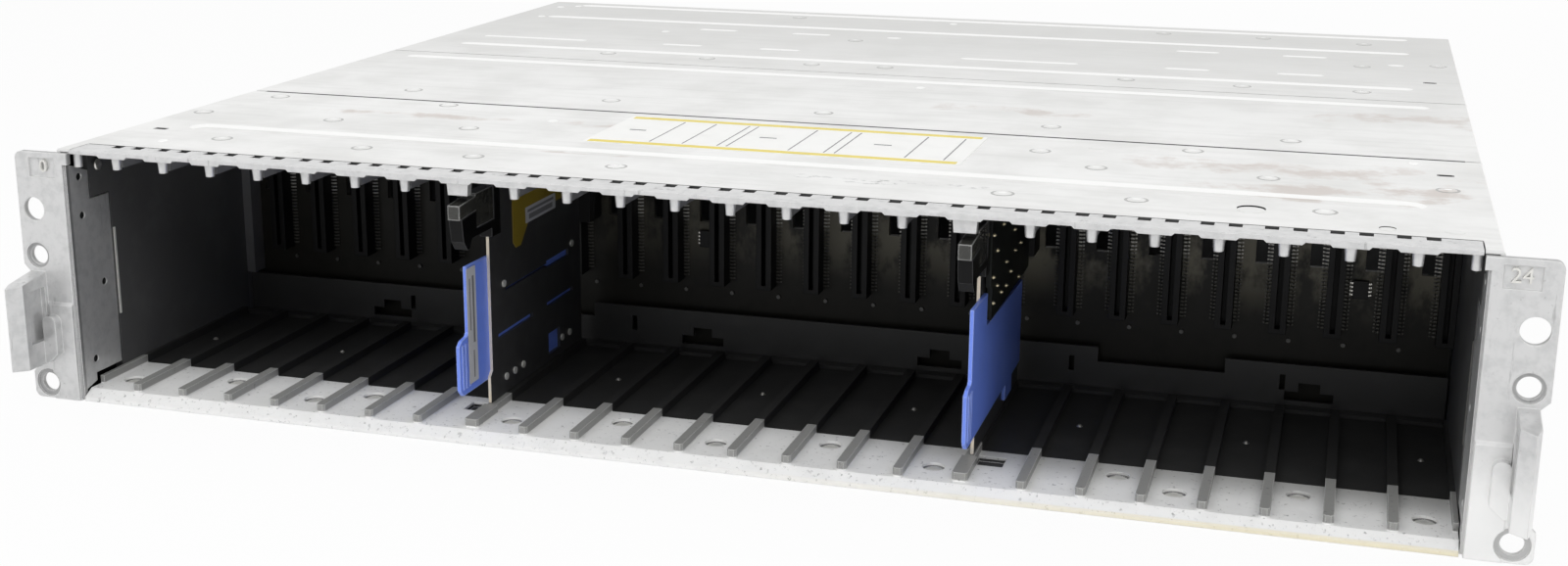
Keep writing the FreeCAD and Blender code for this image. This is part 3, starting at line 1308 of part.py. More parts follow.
def make_card_rivets(name, side):
    """The bright rivets on the inner face of a card plate."""
    low_row = f"{CARD_LOW} + card_screw_lift"
    high_row = f"{TAG_LOW} + tag_rail - card_screw_drop"
    first = "card_front + card_screw_inset"
    places = [(f"{first} + {step} * card_screw_pitch", low_row) for step in range(3)]
    places += [(f"{TAG_REAR} - {step} * card_screw_pitch", low_row) for step in (1, 2)]
    places += [
        (first, high_row),
        (f"{TAG_REAR} - card_screw_pitch / 2", high_row),
    ]
    start = card_across(side, "-card_screw_height", "0")[0]
    rivets = [
        rod(f"{name}_card_rivet_{index}", "x", (start, y, z), "card_screw_radius", "card_screw_height")
        for index, (y, z) in enumerate(places)
    ]
    finish(f"{name}_card_rivets", group(f"{name}_card_rivet_group", rivets))


def make_cards():
    """Both service cards, mirrored about the middle of the case."""
    for name, side in SIDES.items():
        make_card_plate(name, side)
        make_card_board(name, side)
        make_insulator(name, side)
        make_pull_tag(name, side)
        make_light_pipe(name, side)
        make_card_rivets(name, side)


def check_and_write():
    """Stop on any failed object, then write each finished piece to its own file."""
    doc.recompute()
    for item in doc.Objects:
        if "Invalid" in item.State or "Error" in item.State:
            raise RuntimeError(f"{item.Label} failed: {item.State}")
    os.makedirs("parts", exist_ok=True)
    for piece in finished:
        if piece.Shape.isNull() or not piece.Shape.isValid():
            raise RuntimeError(f"{piece.Label} has no valid shape")
        piece.Shape.exportStep(f"parts/{piece.Label}.step")


make_base_pan()
make_front_cover()
make_middle_cover()
make_rear_cover()
make_module_bays()
make_upper_rail()
make_upper_plate()
make_sill()
make_floor_plate()
make_floor_fasteners()
make_liners()
make_ears()
make_ear_screws()
make_midplane_board()
make_connectors()
make_brackets()
make_board_details()
make_cards()
check_and_write()
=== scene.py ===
"""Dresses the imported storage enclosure: camera, finishes, small pieces and stage."""

from math import cos, pi, radians, sin

import bpy
from bpy.props import FloatProperty, FloatVectorProperty, PointerProperty
from mathutils import Matrix, Vector


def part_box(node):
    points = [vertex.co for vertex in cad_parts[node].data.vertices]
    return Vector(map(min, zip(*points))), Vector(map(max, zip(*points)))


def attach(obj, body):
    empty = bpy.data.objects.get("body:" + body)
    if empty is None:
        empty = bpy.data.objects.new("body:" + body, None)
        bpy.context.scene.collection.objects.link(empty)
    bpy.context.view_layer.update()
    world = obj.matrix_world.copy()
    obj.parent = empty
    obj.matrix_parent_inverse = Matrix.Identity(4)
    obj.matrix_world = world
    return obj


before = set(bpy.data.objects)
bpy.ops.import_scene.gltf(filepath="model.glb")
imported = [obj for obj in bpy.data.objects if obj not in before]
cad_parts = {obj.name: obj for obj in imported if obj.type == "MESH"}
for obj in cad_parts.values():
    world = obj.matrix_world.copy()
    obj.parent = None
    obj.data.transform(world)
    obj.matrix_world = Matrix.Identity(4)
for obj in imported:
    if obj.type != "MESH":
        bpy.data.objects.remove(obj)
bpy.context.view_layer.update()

bl_info = {
    "name": "Storage enclosure",
    "version": (1, 0, 0),
    "blender": (4, 5, 0),
    "location": "View3D > Sidebar > Enclosure",
    "description": "Finishes and small pieces of a two-unit rack enclosure",
    "category": "Object",
}

# Places. A place is given in millimetres from the middle of the case, the face of the ears and the floor.

MM = 0.001
IMAGE_WIDTH = 1600
IMAGE_HEIGHT = 578

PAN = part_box("base_pan")
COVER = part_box("front_cover")
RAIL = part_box("upper_guide_rail")
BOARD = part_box("midplane_board")
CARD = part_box("right_card_board")
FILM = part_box("left_insulator")
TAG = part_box("left_pull_tag")
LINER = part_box("right_wall_liner")
EAR_THICKNESS = 2.4
EAR_FACE = PAN[0].y - EAR_THICKNESS * MM


def behind(depth):
    """A place along the case in metres, from millimetres behind the face of the ears."""
    return EAR_FACE + depth * MM


COVER_TOP = COVER[1].z
BEAD_DEPTH = 1.2 * MM
SEAM = COVER[1].y + 0.5 * MM
RAIL_SEAM = behind(12.2)
BOARD_FRONT = (BOARD[0].y - EAR_FACE) / MM
SILL_FLOOR = 3.5 * MM
# A face of the pan's walls that is further in than this is an inner one.
PAN_WALL = PAN[1].x - 0.4 * MM
PAN_FLOOR = PAN[0].z
# Behind this place the walls of the pan and of the module bays are bare, without painted shade.
BAY_FRONT = behind(360)

# The photograph's camera: focal length and axis in pixels of the image, then place and angles.
FOCAL_PIXELS = 1983.2
AXIS_PIXEL = (767.3, 275.1)
CAMERA_PLACE = (180.4, -529.65, 210.46)
CAMERA_TURN = -17.18
CAMERA_DIP = 14.69
CAMERA_ROLL = 0.21
SENSOR_WIDTH = 36

# Dimples pressed into the covers where they are fixed below: across, then behind the ears.
COVER_DIMPLES = (
    (-215.7, 77.2), (-163.2, 77.5), (-110.6, 77.7), (106.3, 77.9), (159.1, 78.4), (211.4, 77.0),
    (-206.5, 115.0), (-137.8, 118.0), (85.1, 99.6), (133.1, 115.4),
    (-181.4, 34.5), (-128.9, 34.5), (-87.9, 33.0), (-38.4, 32.5),
    (84.8, 31.3), (123.7, 34.7), (176.9, 35.6),
    (-165.7, 144.8), (-84.4, 146.6), (-1.4, 146.0), (81.8, 144.5), (163.2, 143.5),
    (-129.9, 260.0), (-84.0, 259.1), (-36.9, 257.3), (-5.4, 259.0),
    (94.5, 258.5), (140.2, 256.5), (185.6, 257.1),
    (-37.1, 333.3), (185.2, 325.5), (215.9, 335.8),
    (-83.8, 404.0), (95.2, 403.1), (140.9, 401.3), (185.7, 395.0),
)
SMALL_DIMPLES = (
    (-197.7, 24.7), (-88.2, 99.7), (20.0, 212.2), (202.4, 116.5),
    (-212.8, 405.0), (-205.2, 411.0), (-207.3, 367.2), (-129.5, 333.5), (-5.9, 404.0),
)
FLAT_MARKS = ((-147.2, 22.5), (-74.1, 20.1), (-1.7, 20.0), (141.7, 22.6), (211.4, 21.2), (101.9, 111.1))
# Slugs of part-sheared holes in the front cover: across, behind the ears, radius.
COVER_SLUGS = ((156.5, 33.5, 4.1), (193.8, 19.9, 2.3))
# Old stains on the covers: middle, then half length and half width.
STAINS = (
    ((200, 200), (36, 17)),
    ((168, 90), (62, 17)),
    ((180, 62), (40, 12)),
    ((206, 70), (13, 13)),
    ((62, 172), (28, 10)),
    ((-62, 96), (26, 7)),
    ((-140, 96), (40, 5)),
    ((-60, 52), (22, 4)),
)
SCUFFS = ((46, 36), (44, 4.5))

STICKER_LOW = (-64.5, 68.0)
STICKER_HIGH = (64.5, 117.5)
# Rules across the sticker and short lines along it, as shares of its length, with their sizes.
STICKER_RULES = (0.17, 0.26, 0.355, 0.38, 0.546, 0.64, 0.668, 0.85, 0.95)
STICKER_LINES = (0.085, 0.45, 0.76)
RULE_WIDTH = 0.45
LINE_SIZE = (6, 1.2)
# The sticker's bands: width, paper outside, paper at both ends together, and paper towards the rules.
BAND_WIDTH = 3.6
BAND_MARGIN = 0.8
BAND_ENDS = 3
RULE_GAPS = 5

# Groups of drive connectors: the middle of the first, then how many stand side by side.
CONNECTOR_PITCH = 17.36
CONNECTOR_GROUPS = ((-204.78, 8), (-63.66, 9), (94.82, 8))
CONNECTOR_HALF = 2.8
LEG_LOW = 30.7
LEG_COUNT = 33
LEG_THICKNESS = 0.3 * MM
CHIP_MIDDLES = (-34.58, 189.42)
CHIP_HALF = 2.45
CHIP_LOW = 42.7
CHIP_LEGS = 4
# Reach of a chip's legs, as a share of a connector's.
CHIP_SHARE = 0.45
# Through pins on the outer face of a card board: behind the ears, up.
CARD_PINS = (
    (31.6, 73.2), (38.4, 66.9), (69.3, 66.4), (81.7, 59.2), (71.5, 59.1), (55.5, 59.2),
    (32.6, 59.9), (79.9, 48.2), (39.9, 55.5), (47.7, 51.4), (56.3, 51.3), (33.8, 51.5),
    (64.0, 54.0), (90.0, 70.0), (48.0, 73.0), (62.0, 74.5),
)
# Slots in the covers: across, then behind the ears.
COVER_SLOTS = ((-211.45, 44.0), (211.45, 99.5), (211.45, 288.5))
# Seams and slots of the covers, darkened with painted shade: left, right, before and behind.
SEAM_SHADE_PLACES = (
    (RAIL[0].x, RAIL[1].x, SEAM - 0.8 * MM, SEAM + 0.8 * MM),
    (RAIL[0].x, RAIL[1].x, RAIL_SEAM - 2 * MM, RAIL_SEAM + 0.6 * MM),
    *(((x - 2.4) * MM, (x + 2.4) * MM, behind(y - 1.2), behind(y + 1.2)) for x, y in COVER_SLOTS),
)

# Zones where a finish changes: axis, place where the change begins, place where it is whole, and strength.
# Covers: darker towards the rear, a painted highlight on the slopes of the beads, and a painted highlight in
# all of an emboss behind the middle.
COVER_REAR = ("Y", -0.1, 0.2, 0.8)
COVER_SUNK = ("Z", COVER_TOP - 0.05 * MM, COVER_TOP - 0.2 * MM)
BEAD_HIGHLIGHT = ("Z", COVER_TOP - BEAD_DEPTH, COVER_TOP - BEAD_DEPTH + 0.2 * MM)
EMBOSS_HIGHLIGHT = ("Y", 0.09, 0.11)
# Pan: the inside, which gets painted shade, bare edges at the rear, and the part behind the midplane, which
# gets a lighter painted shade.
PAN_INSIDE = (
    ("X", -PAN_WALL - 0.1 * MM, -PAN_WALL + 0.1 * MM),
    ("X", PAN_WALL + 0.1 * MM, PAN_WALL - 0.1 * MM),
    ("Z", PAN_FLOOR + 0.5 * MM, PAN_FLOOR + 0.7 * MM),
    ("Y", behind(2.6), behind(3.0)),
)
PAN_BARE = (("Y", BAY_FRONT, BAY_FRONT + 10 * MM), ("Z", PAN_FLOOR + 1.2 * MM, PAN_FLOOR + 1.6 * MM))
PAN_REAR = ("Y", BOARD[1].y, BOARD[1].y + 10 * MM)
BAY_SHADE = ("Y", BAY_FRONT + 10 * MM, BAY_FRONT)
# Rail: painted shade in its slots, below the top and before the joint.
RAIL_SLOT_SHADE = (
    ("Y", RAIL_SEAM - 4.2 * MM, RAIL_SEAM - 3.6 * MM),
    ("Z", COVER_TOP - 0.3 * MM, COVER_TOP - 0.5 * MM),
    ("Z", COVER_TOP - 2.7 * MM, COVER_TOP - 2.5 * MM),
)
# Ears: painted shade on the sunk parts and the sides of the flanges, and painted light on the foot of the right
# one.
EAR_SINK_SHADE = (("Y", behind(0.62), behind(0.78), 0.45), ("Y", behind(2.35), behind(2.2)))
EAR_FOOT_LIGHT = (("Z", 40 * MM, 15 * MM, 0.9), ("X", 0.2, 0.22))
# Sill: painted shade on its rear, more so on the right, on its ribs and in its recesses; specks on its front,
# and its worn lip.
SILL_REAR_SHADE = ("Y", behind(22), behind(40), 0.4)
SILL_RIGHT_SHADE = (("Y", behind(12), behind(34), 0.8), ("X", 0.0, 0.12))
SILL_RIB_SHADE = ("Z", SILL_FLOOR + 0.1 * MM, SILL_FLOOR + 0.6 * MM)
SILL_FRONT = ("Y", behind(9), behind(4))
SILL_RECESS_SHADE = (("Z", SILL_FLOOR - 0.7 * MM, SILL_FLOOR - 1.0 * MM), ("Y", behind(8), behind(9)))
SILL_LIP = (("Z", 1.8 * MM, 1.2 * MM), ("Y", behind(3.5), behind(1.0)), ("X", -0.02, 0.2, 0.8))
# Boards: where copper shows across, and the heights from which it does. The copper is real, but its place, high
# up and to the right, is painted light.
COPPER_SIDE = ("X", -0.15, 0.1)
BOARD_COPPER = 42 * MM
CARD_COPPER = 46 * MM
# Painted highlight on the tops of the legs, bare front edges of the card plates, and faces that look ahead.
LEG_TOP_HIGHLIGHT = ("Z", 50 * MM, 53 * MM, 0.6)
PLATE_EDGE = ("Y", behind(26), behind(25))
AHEAD = ("Y", -0.4, -0.7)

# Levels of a socket that a mix of colours drives.
NONE = (0.0, 0.0, 0.0, 1.0)
ZINC_METAL = (0.9, 0.9, 0.9, 1.0)
FULL = (1.0, 1.0, 1.0, 1.0)
# Sockets of a Mix node that mixes colours.
MIX_SHARE, MIX_UNDER, MIX_OVER, MIX_RESULT = 0, 6, 7, 2

# Threaded bores in the ear blocks: behind the ears, up.
EAR_BORES = ((7.3, 76.0), (7.5, 62.8), (16.4, 37.8), (8.4, 12.6))
EAR_BLOCK_FACE = 220.2
# Numbers of the first and the last bay with their places across, and their height.
EAR_NUMBERS = (("left_number", "0", -227.3), ("right_number", "24", 227.9))
NUMBER_HEIGHT = 80.3
# A text's capitals are smaller than its size by this factor.
TEXT_SIZE = 1.35
# On each wall a screw and a strip: behind the ears, up. The strip's base is this far across.
LINER_SCREW = (15.3, 78.7)
EDGE_STRIP = (23.6, 39.9)
EDGE_STRIP_BASE = 221.3
EDGE_STRIP_SIZE = (0.9 * MM, 30.6 * MM, 2.4 * MM)
# Bars of a label: shift and size along the label's sides.
FILM_BARS = ((0, 1.2, 22, 0.9), (0, -0.9, 20, 1.7))
TAG_BARS = ((1.2, 5, 1.3, 22), (-1.2, 7, 0.7, 17), (0.6, -13, 0.8, 9))
# Plain labels of the left card: carrier, middle, size and bars.
CARD_LABELS = (
    ("film_label", FILM, (65.8, 62.7), (25.4, 5.4), FILM_BARS),
    ("tag_label", TAG, (11.4, 36.2), (6.6, 38.0), TAG_BARS),
)
LABEL_THICKNESS = 0.08
BAR_THICKNESS = 0.03

# Lamps: name, size, place and aim in metres.
LAMPS = (
    ("key", (3.6, 0.9), (0, -1.1, 1.22), (0, -0.2, 0.05)),
    ("fill", (1.5, 1.0), (0.2, -2.0, 0.5), (0, -0.2, 0)),
    ("rear", (1.8, 0.8), (0, 1.9, 0.45), (0, 0.2, 0.05)),
)
FLOOR_SIZE = 12
FLOOR_DROP = 0.2 * MM
# Share of white in the floor as the eye sees it.
FLOOR_WHITE = 0.93
# The light from above: heights of the sky between which it grows, and the least level below.
SKY_RISE = ("Z", 0.2, 0.8)
SKY_LOW = 0.06


def place(x, y, z):
    """A point in metres from millimetres across, behind the ears and up."""
    return Vector((x * MM, behind(y), z * MM))


def linear(code):
    """Linear red, green, blue and alpha of an sRGB hex colour."""
    parts = [int(code[at : at + 2], 16) / 255 for at in (1, 3, 5)]
    return [c / 12.92 if c <= 0.04045 else ((c + 0.055) / 1.055) ** 2.4 for c in parts] + [1.0]


def shifted(shade, factor):
    """A colour made lighter or darker by a factor."""
    return [min(1.0, part * factor) for part in shade[:3]] + [1.0]


def per(size):
    """Texture scale that gives a pattern of about this size in millimetres."""
    return 1 / (size * MM)


def colour(name, description, code):
    """A colour a user may change, from its sRGB hex value."""
    return FloatVectorProperty(
        name=name, description=description, subtype="COLOR", size=4, min=0, max=1, default=linear(code)
    )


def length(name, description, size):
    """A length a user may change, from its size in millimetres."""
    return FloatProperty(
        name=name, description=description, default=size * MM, min=0, precision=5, unit="LENGTH"
    )


def power(name, description, watts):
    """The power of a lamp, which a user may change."""
    return FloatProperty(name=name, description=description, default=watts, unit="POWER")


class EnclosureColours(bpy.types.PropertyGroup):
    """Colours of the enclosure's finishes."""

    zinc: colour("Zinc", "Clean galvanised sheet", "#F6F6F5")
    zinc_cloud: colour("Zinc cloud", "Dull areas of the galvanised sheet", "#E4E4E2")
    # Painted highlight on the beads' slopes, the dimples' centres and the small dimples.
    bead_highlight: colour("Bead", "Bright zinc of pressed beads and dimples", "#FDFDFC")
    zinc_stain: colour("Zinc stain", "Old brownish stains on the sheet", "#D8D1CC")
    casting: colour("Casting", "Die-cast zinc of the ears and guides", "#D9D9D9")
    # Also laid as painted shade on the sill's rear.
    casting_shade: colour("Casting shade", "Darker flow marks of the castings", "#C2C3C3")
    # Sill floor; also a paler edge on the castings, partly wear and partly a painted highlight, and painted
    # light on the right ear's foot.
    sill: colour("Sill", "Sill floor, and rubbed edges of the castings", "#FBFBFA")
    # Painted shade: the ribs are the same casting as the sill floor.
    sill_shade: colour("Sill shade", "Ribs of the lower guide sill", "#989896")
    worn_edge: colour("Worn edge", "Yellowed front lip of the sill", "#F3E9C6")
    # For the bay numbers, a painted highlight.
    pale_screw: colour("Pale screw", "Bright screws, rivets and numbers", "#E6E5E0")
    # Painted shade round the dimples and on the right of the sill's rear.
    pressed: colour("Pressed zinc", "Dull zinc round dimples and on the sill's rear", "#B0B0AE")
    pin: colour("Pin", "Soldered pins of the cards", "#C9BF9F")
    # Painted shade in the covers' seams and slots, and in sunk parts and recesses of the castings.
    groove: colour("Groove", "Old dirt in slots and recesses", "#3A3A3B")
    grime: colour("Grime", "Specks, pits and scuffs", "#626262")
    liner: colour("Liner", "Black coat of the wall liners", "#505050")
    guide: colour("Guide plate", "Black coat of the floor guide plate", "#2E2E2E")
    bracket: colour("Bracket", "Black coat of the midplane's brackets", "#2C2C2C")
    # Also a painted highlight along the edges of the pipe holders.
    post: colour("Post", "Midplane posts, and rubbed edges of the holders", "#6A6A6C")
    # A lighter copy of the guide plates' black coat: painted light.
    fin: colour("Fin", "Grey coat of the upper guide plate", "#77777A")
    # Painted shade: near black inside the pan, and in the gaps under the slugs.
    inside: colour("Inside", "Black coat inside the pan", "#0C0C0D")
    # Painted shade round the module bays and behind the midplane.
    bay: colour("Bay", "Dark coat round the module bays", "#2E2E2F")
    # Also the painted highlight on the tops of the connectors' legs.
    screw: colour("Screw", "Plated screws, rivets and ends of legs", "#D6D4CE")
    dull_screw: colour("Dull screw", "Screws of the midplane", "#5A5A58")
    board: colour("Board", "Solder mask of the midplane", "#201F1B")
    # Copper fields, lighter high up and to the right as painted light.
    board_field: colour("Board field", "Copper fields under the midplane's mask", "#8A8677")
    plastic: colour("Black plastic", "Connector housings, chips and pipe holders", "#0A0A0B")
    coat: colour("Card coat", "Dark coat of the card plates", "#3A3A3B")
    bare_steel: colour("Bare steel", "Bare front edges of the card plates", "#E6DAC6")
    card_board: colour("Card board", "Solder mask of the card boards", "#181A18")
    tin: colour("Tin", "Tinned legs of the connectors", "#54534E")
    film: colour("Amber film", "Insulating film", "#94802A")
    blue: colour("Blue plastic", "Pull tags", "#7392F8")
    # Painted highlight along the edges of the pull tags.
    blue_edge: colour("Blue edge", "Rubbed edges of the pull tags", "#C4D6FF")
    smoke: colour("Clear plastic", "Smoky faces of the light pipes", "#4A4A46")
    # Also the painted highlight on the edges of the light pipes.
    paper: colour("Paper", "Sticker, and edges of the light pipes", "#FBFBF9")
    grey_paper: colour("Grey paper", "Labels of the cards", "#BEBFC4")
    print_yellow: colour("Yellow print", "Bands of the sticker", "#EBD867")
    print_grey: colour("Grey print", "Lines of the sticker and labels", "#77777A")
    floor: colour("Floor", "Studio floor", "#F2F2F2")


class EnclosureSizes(bpy.types.PropertyGroup):
    """Sizes of the enclosure's small pieces."""

    dimple_radius: length("Dimple radius", "Radius of a pressed dimple in a cover", 2.8)
    dimple_height: length("Dimple height", "Height of a dimple's rim above the sheet", 0.4)
    sticker_thickness: length("Sticker thickness", "Thickness of a sticker", 0.12)
    digit_height: length("Digit height", "Height of the numbers on the ears", 4.4)
    digit_relief: length("Digit relief", "How far the numbers stand out", 0.5)
    leg_pitch: length("Leg pitch", "Spacing of the legs of connectors and chips", 1.27)
    leg_width: length("Leg width", "Width of a leg", 0.5)
    leg_reach: length("Leg reach", "How far a leg stands out of its housing", 2.0)
    pin_radius: length("Pin radius", "Radius of a soldered pin on a card board", 0.65)
    key_power: power("Key light", "Power of the key light", 23.0)
    fill_power: power("Fill light", "Power of the fill light", 1.0)
    rear_power: power("Rear light", "Power of the light behind", 9.0)
    sky: FloatProperty(name="Sky", description="Strength of the light from above", default=0.65, min=0)


# Modelling


def only(piece):
    """Leaves one piece selected and active."""
    bpy.ops.object.select_all(action="DESELECT")
    piece.select_set(True)
    bpy.context.view_layer.objects.active = piece


def start(name, shape, **options):
    """A new primitive, alone selected."""
    bpy.ops.object.select_all(action="DESELECT")
    getattr(bpy.ops.mesh, f"primitive_{shape}_add")(**options)
    piece = bpy.context.object
    piece.name = name
    piece.data.name = name
    return piece


def edit_faces(piece, wanted):
    """Opens a piece in edit mode with the wanted faces selected."""
    bpy.context.tool_settings.mesh_select_mode = (False, False, True)
    for item in (*piece.data.vertices, *piece.data.edges):
        item.select = False
    for face in piece.data.polygons:
        face.select = wanted(face)
    bpy.ops.object.mode_set(mode="EDIT")


def apply_place(piece):
    """Puts a piece's place, turn and scale into its mesh."""
    only(piece)
    bpy.ops.object.transform_apply(location=True, rotation=True, scale=True)


TURNS = {
    "z": Matrix.Identity(4),
    "-y": Matrix.Rotation(pi / 2, 4, "X"),
    "x": Matrix.Rotation(pi / 2, 4, "Z") @ Matrix.Rotation(pi / 2, 4, "X"),
    "-x": Matrix.Rotation(-pi / 2, 4, "Z") @ Matrix.Rotation(pi / 2, 4, "X"),
}


def stand(piece, middle, facing):
    """Turns a piece made at the origin along an axis and puts it in its place."""
    piece.matrix_world = Matrix.Translation(middle) @ TURNS[facing]
    apply_place(piece)


def slab(name, middle, across, up, thickness, corner, facing="z"):
    """A thin plate with rounded corners that lies on a face and looks along an axis."""
    piece = start(name, "plane", size=1)
    piece.scale = (across, up, 1)
    apply_place(piece)
    bpy.context.tool_settings.mesh_select_mode = (True, False, False)
    bpy.ops.object.mode_set(mode="EDIT")
    bpy.ops.mesh.select_all(action="SELECT")
    bpy.ops.mesh.bevel(offset=corner, segments=3, affect="VERTICES")
    bpy.ops.mesh.select_all(action="SELECT")
    bpy.ops.mesh.extrude_region_move(TRANSFORM_OT_translate={"value": (0, 0, thickness)})
    bpy.ops.mesh.select_all(action="SELECT")
    bpy.ops.mesh.normals_make_consistent(inside=False)
    bpy.ops.object.mode_set(mode="OBJECT")
    stand(piece, middle, facing)
    return piece


def boss(name, radius, height, steps, sides=20):
    """A low round boss on the origin; each step insets its top by a share and lifts it by millimetres."""
    piece = start(name, "cylinder", vertices=sides, radius=radius, depth=height, location=(0, 0, height / 2))
    apply_place(piece)
    edit_faces(piece, lambda face: face.normal.z > 0.5)
    for inset, lift in steps:
        bpy.ops.mesh.inset(thickness=radius * inset)
        bpy.ops.transform.translate(value=(0, 0, lift * MM))
    bpy.ops.object.mode_set(mode="OBJECT")
    bpy.ops.object.shade_smooth_by_angle(angle=radians(70))
    return piece


def repeat(piece, shifts):
    """Copies a piece once for each shift and joins the copies in its place."""
    copies = []
    for shift in shifts:
        copy = piece.copy()
        copy.data = piece.data.copy()
        copy.data.transform(Matrix.Translation(shift))
        bpy.context.collection.objects.link(copy)
        copies.append(copy)
    name = piece.name
    bpy.data.objects.remove(piece)
    return join(name, copies)


def join(name, pieces):
    """Joins pieces into one."""
    bpy.ops.object.select_all(action="DESELECT")
    for piece in pieces:
        piece.select_set(True)
    bpy.context.view_layer.objects.active = pieces[0]
    if len(pieces) > 1:
        bpy.ops.object.join()
    pieces[0].name = name
    pieces[0].data.name = name
    return pieces[0]


def settle(piece, body, material):
    """Gives a piece its finish and lets it ride on a body."""
    piece.data.materials.clear()
    piece.data.materials.append(material)
    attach(piece, body)


# Finishes


def add(tree, kind, inputs=(), **settings):
    """A node with its settings; inputs are pairs of a socket and a value or another node's output."""
    node = tree.nodes.new(f"ShaderNode{kind}")
    for name, value in settings.items():
        setattr(node, name, value)
    for socket, value in inputs:
        if isinstance(value, bpy.types.NodeSocket):
            tree.links.new(value, node.inputs[socket])
        else:
            node.inputs[socket].default_value = value
    return node


def new_finish(name, **sockets):
    """A material with one Principled shader: its tree, its shader and its Object coordinates."""
    material = bpy.data.materials.new(name)
    material.use_nodes = True
    tree = material.node_tree
    shader = tree.nodes["Principled BSDF"]
    for socket, value in sockets.items():
        shader.inputs[socket.replace("_", " ")].default_value = value
    return material, tree, shader, add(tree, "TexCoord").outputs["Object"]


def patches(tree, coords, size, low, high, strength=1.0, stretch=(1, 1, 1)):
    """Share of a cloudy pattern of about this size in millimetres: none at low, the strength at high."""
    spread = add(tree, "Mapping", [("Vector", coords), ("Scale", stretch)])
    inputs = [("Vector", spread.outputs[0]), ("Scale", per(size)), ("Detail", 5), ("Roughness", 0.6)]
    cloud = add(tree, "TexNoise", inputs)
    inputs = [("Value", cloud.outputs[0]), ("From Min", low), ("From Max", high), ("To Max", strength)]
    return add(tree, "MapRange", inputs, interpolation_type="SMOOTHSTEP").outputs[0]


def zone(tree, coords, axis, low, high, strength=1.0):
    """Share of the surface along an axis: none at the place low, the strength at the place high."""
    split = add(tree, "SeparateXYZ", [("Vector", coords)])
    inputs = [("Value", split.outputs[axis]), ("From Min", low), ("From Max", high), ("To Max", strength)]
    return add(tree, "MapRange", inputs, interpolation_type="SMOOTHSTEP").outputs[0]


def zones(tree, coords, rows):
    """Shares of several zones, one for each row of a table."""
    return [zone(tree, coords, *row) for row in rows]


def spot(tree, coords, middle, reach):
    """Share of a ragged spot on the covers with a fairly sharp edge."""
    scale = (reach[0] * MM, reach[1] * MM, 1)
    inputs = [("Vector", coords), ("Location", place(*middle, COVER_TOP / MM)), ("Scale", scale)]
    inside = add(tree, "Mapping", inputs, vector_type="TEXTURE")
    far = add(tree, "VectorMath", [(0, inside.outputs[0])], operation="LENGTH").outputs["Value"]
    ragged = patches(tree, coords, 15, 0.25, 0.75, 1.5)
    far = add(tree, "Math", [(0, far), (1, ragged)], operation="ADD").outputs[0]
    inputs = [("Value", far), ("From Min", 1.6), ("From Max", 0.7), ("To Max", 0.95)]
    return add(tree, "MapRange", inputs, interpolation_type="SMOOTHSTEP").outputs[0]


def painted(tree, under, over, *shares):
    """One colour laid over another where all the shares meet."""
    share = shares[0]
    for other in shares[1:]:
        share = add(tree, "Math", [(0, share), (1, other)], operation="MULTIPLY").outputs[0]
    inputs = [(MIX_SHARE, share), (MIX_UNDER, under), (MIX_OVER, over)]
    return add(tree, "Mix", inputs, data_type="RGBA").outputs[MIX_RESULT]


def edges(tree, rounded, low, strength=1.0):
    """Share of the surface beside an edge, where a rounded direction turns from the flat one."""
    flat = add(tree, "NewGeometry").outputs["True Normal"]
    turned = add(tree, "VectorMath", [(0, rounded), (1, flat)], operation="DOT_PRODUCT").outputs["Value"]
    inputs = [("Value", turned), ("From Min", low), ("From Max", 0.85), ("To Max", strength)]
    return add(tree, "MapRange", inputs).outputs[0]


def surface(tree, shader, coords, base, gloss, grain, relief, edge=None, dull=(), edge_highlight=None):
    """Links a colour, a roughness between two values, a grain, and edges rounded, with a painted highlight
    along them where given.
    """
    rounded = add(tree, "Bevel", [("Radius", edge * MM)], samples=4).outputs[0] if edge else None
    if edge_highlight:
        # Painted highlight along the edges.
        base = painted(tree, base, edge_highlight, edges(tree, rounded, 0.99, 0.7))
    tree.links.new(base, shader.inputs["Base Color"])
    worn = add(tree, "TexNoise", [("Vector", coords), ("Scale", per(16)), ("Detail", 4)])
    rough = add(tree, "MapRange", [("Value", worn.outputs[0]), ("To Min", gloss[0]), ("To Max", gloss[1])])
    rough = painted(tree, rough.outputs[0], FULL, *dull) if dull else rough.outputs[0]
    tree.links.new(rough, shader.inputs["Roughness"])
    fine = add(tree, "TexNoise", [("Vector", coords), ("Scale", per(grain)), ("Detail", 2)])
    bump = add(tree, "Bump", [("Height", fine.outputs[0]), ("Strength", relief), ("Distance", 0.2 * MM)])
    if edge:
        tree.links.new(rounded, bump.inputs["Normal"])
    tree.links.new(bump.outputs[0], shader.inputs["Normal"])


def zinc_coat(colours, tree, coords):
    """Colour of hot-dip galvanised sheet: pale zinc, cloudy where handled, with fine dark specks."""
    base = painted(tree, colours.zinc, colours.zinc_cloud, patches(tree, coords, 30, 0.36, 0.7, 0.7))
    rolled = patches(tree, coords, 5, 0.45, 0.75, 0.35, (0.1, 1, 1))
    base = painted(tree, base, shifted(colours.zinc_cloud, 0.9), rolled)
    return painted(tree, base, colours.grime, patches(tree, coords, 1.6, 0.72, 0.8, 0.5))


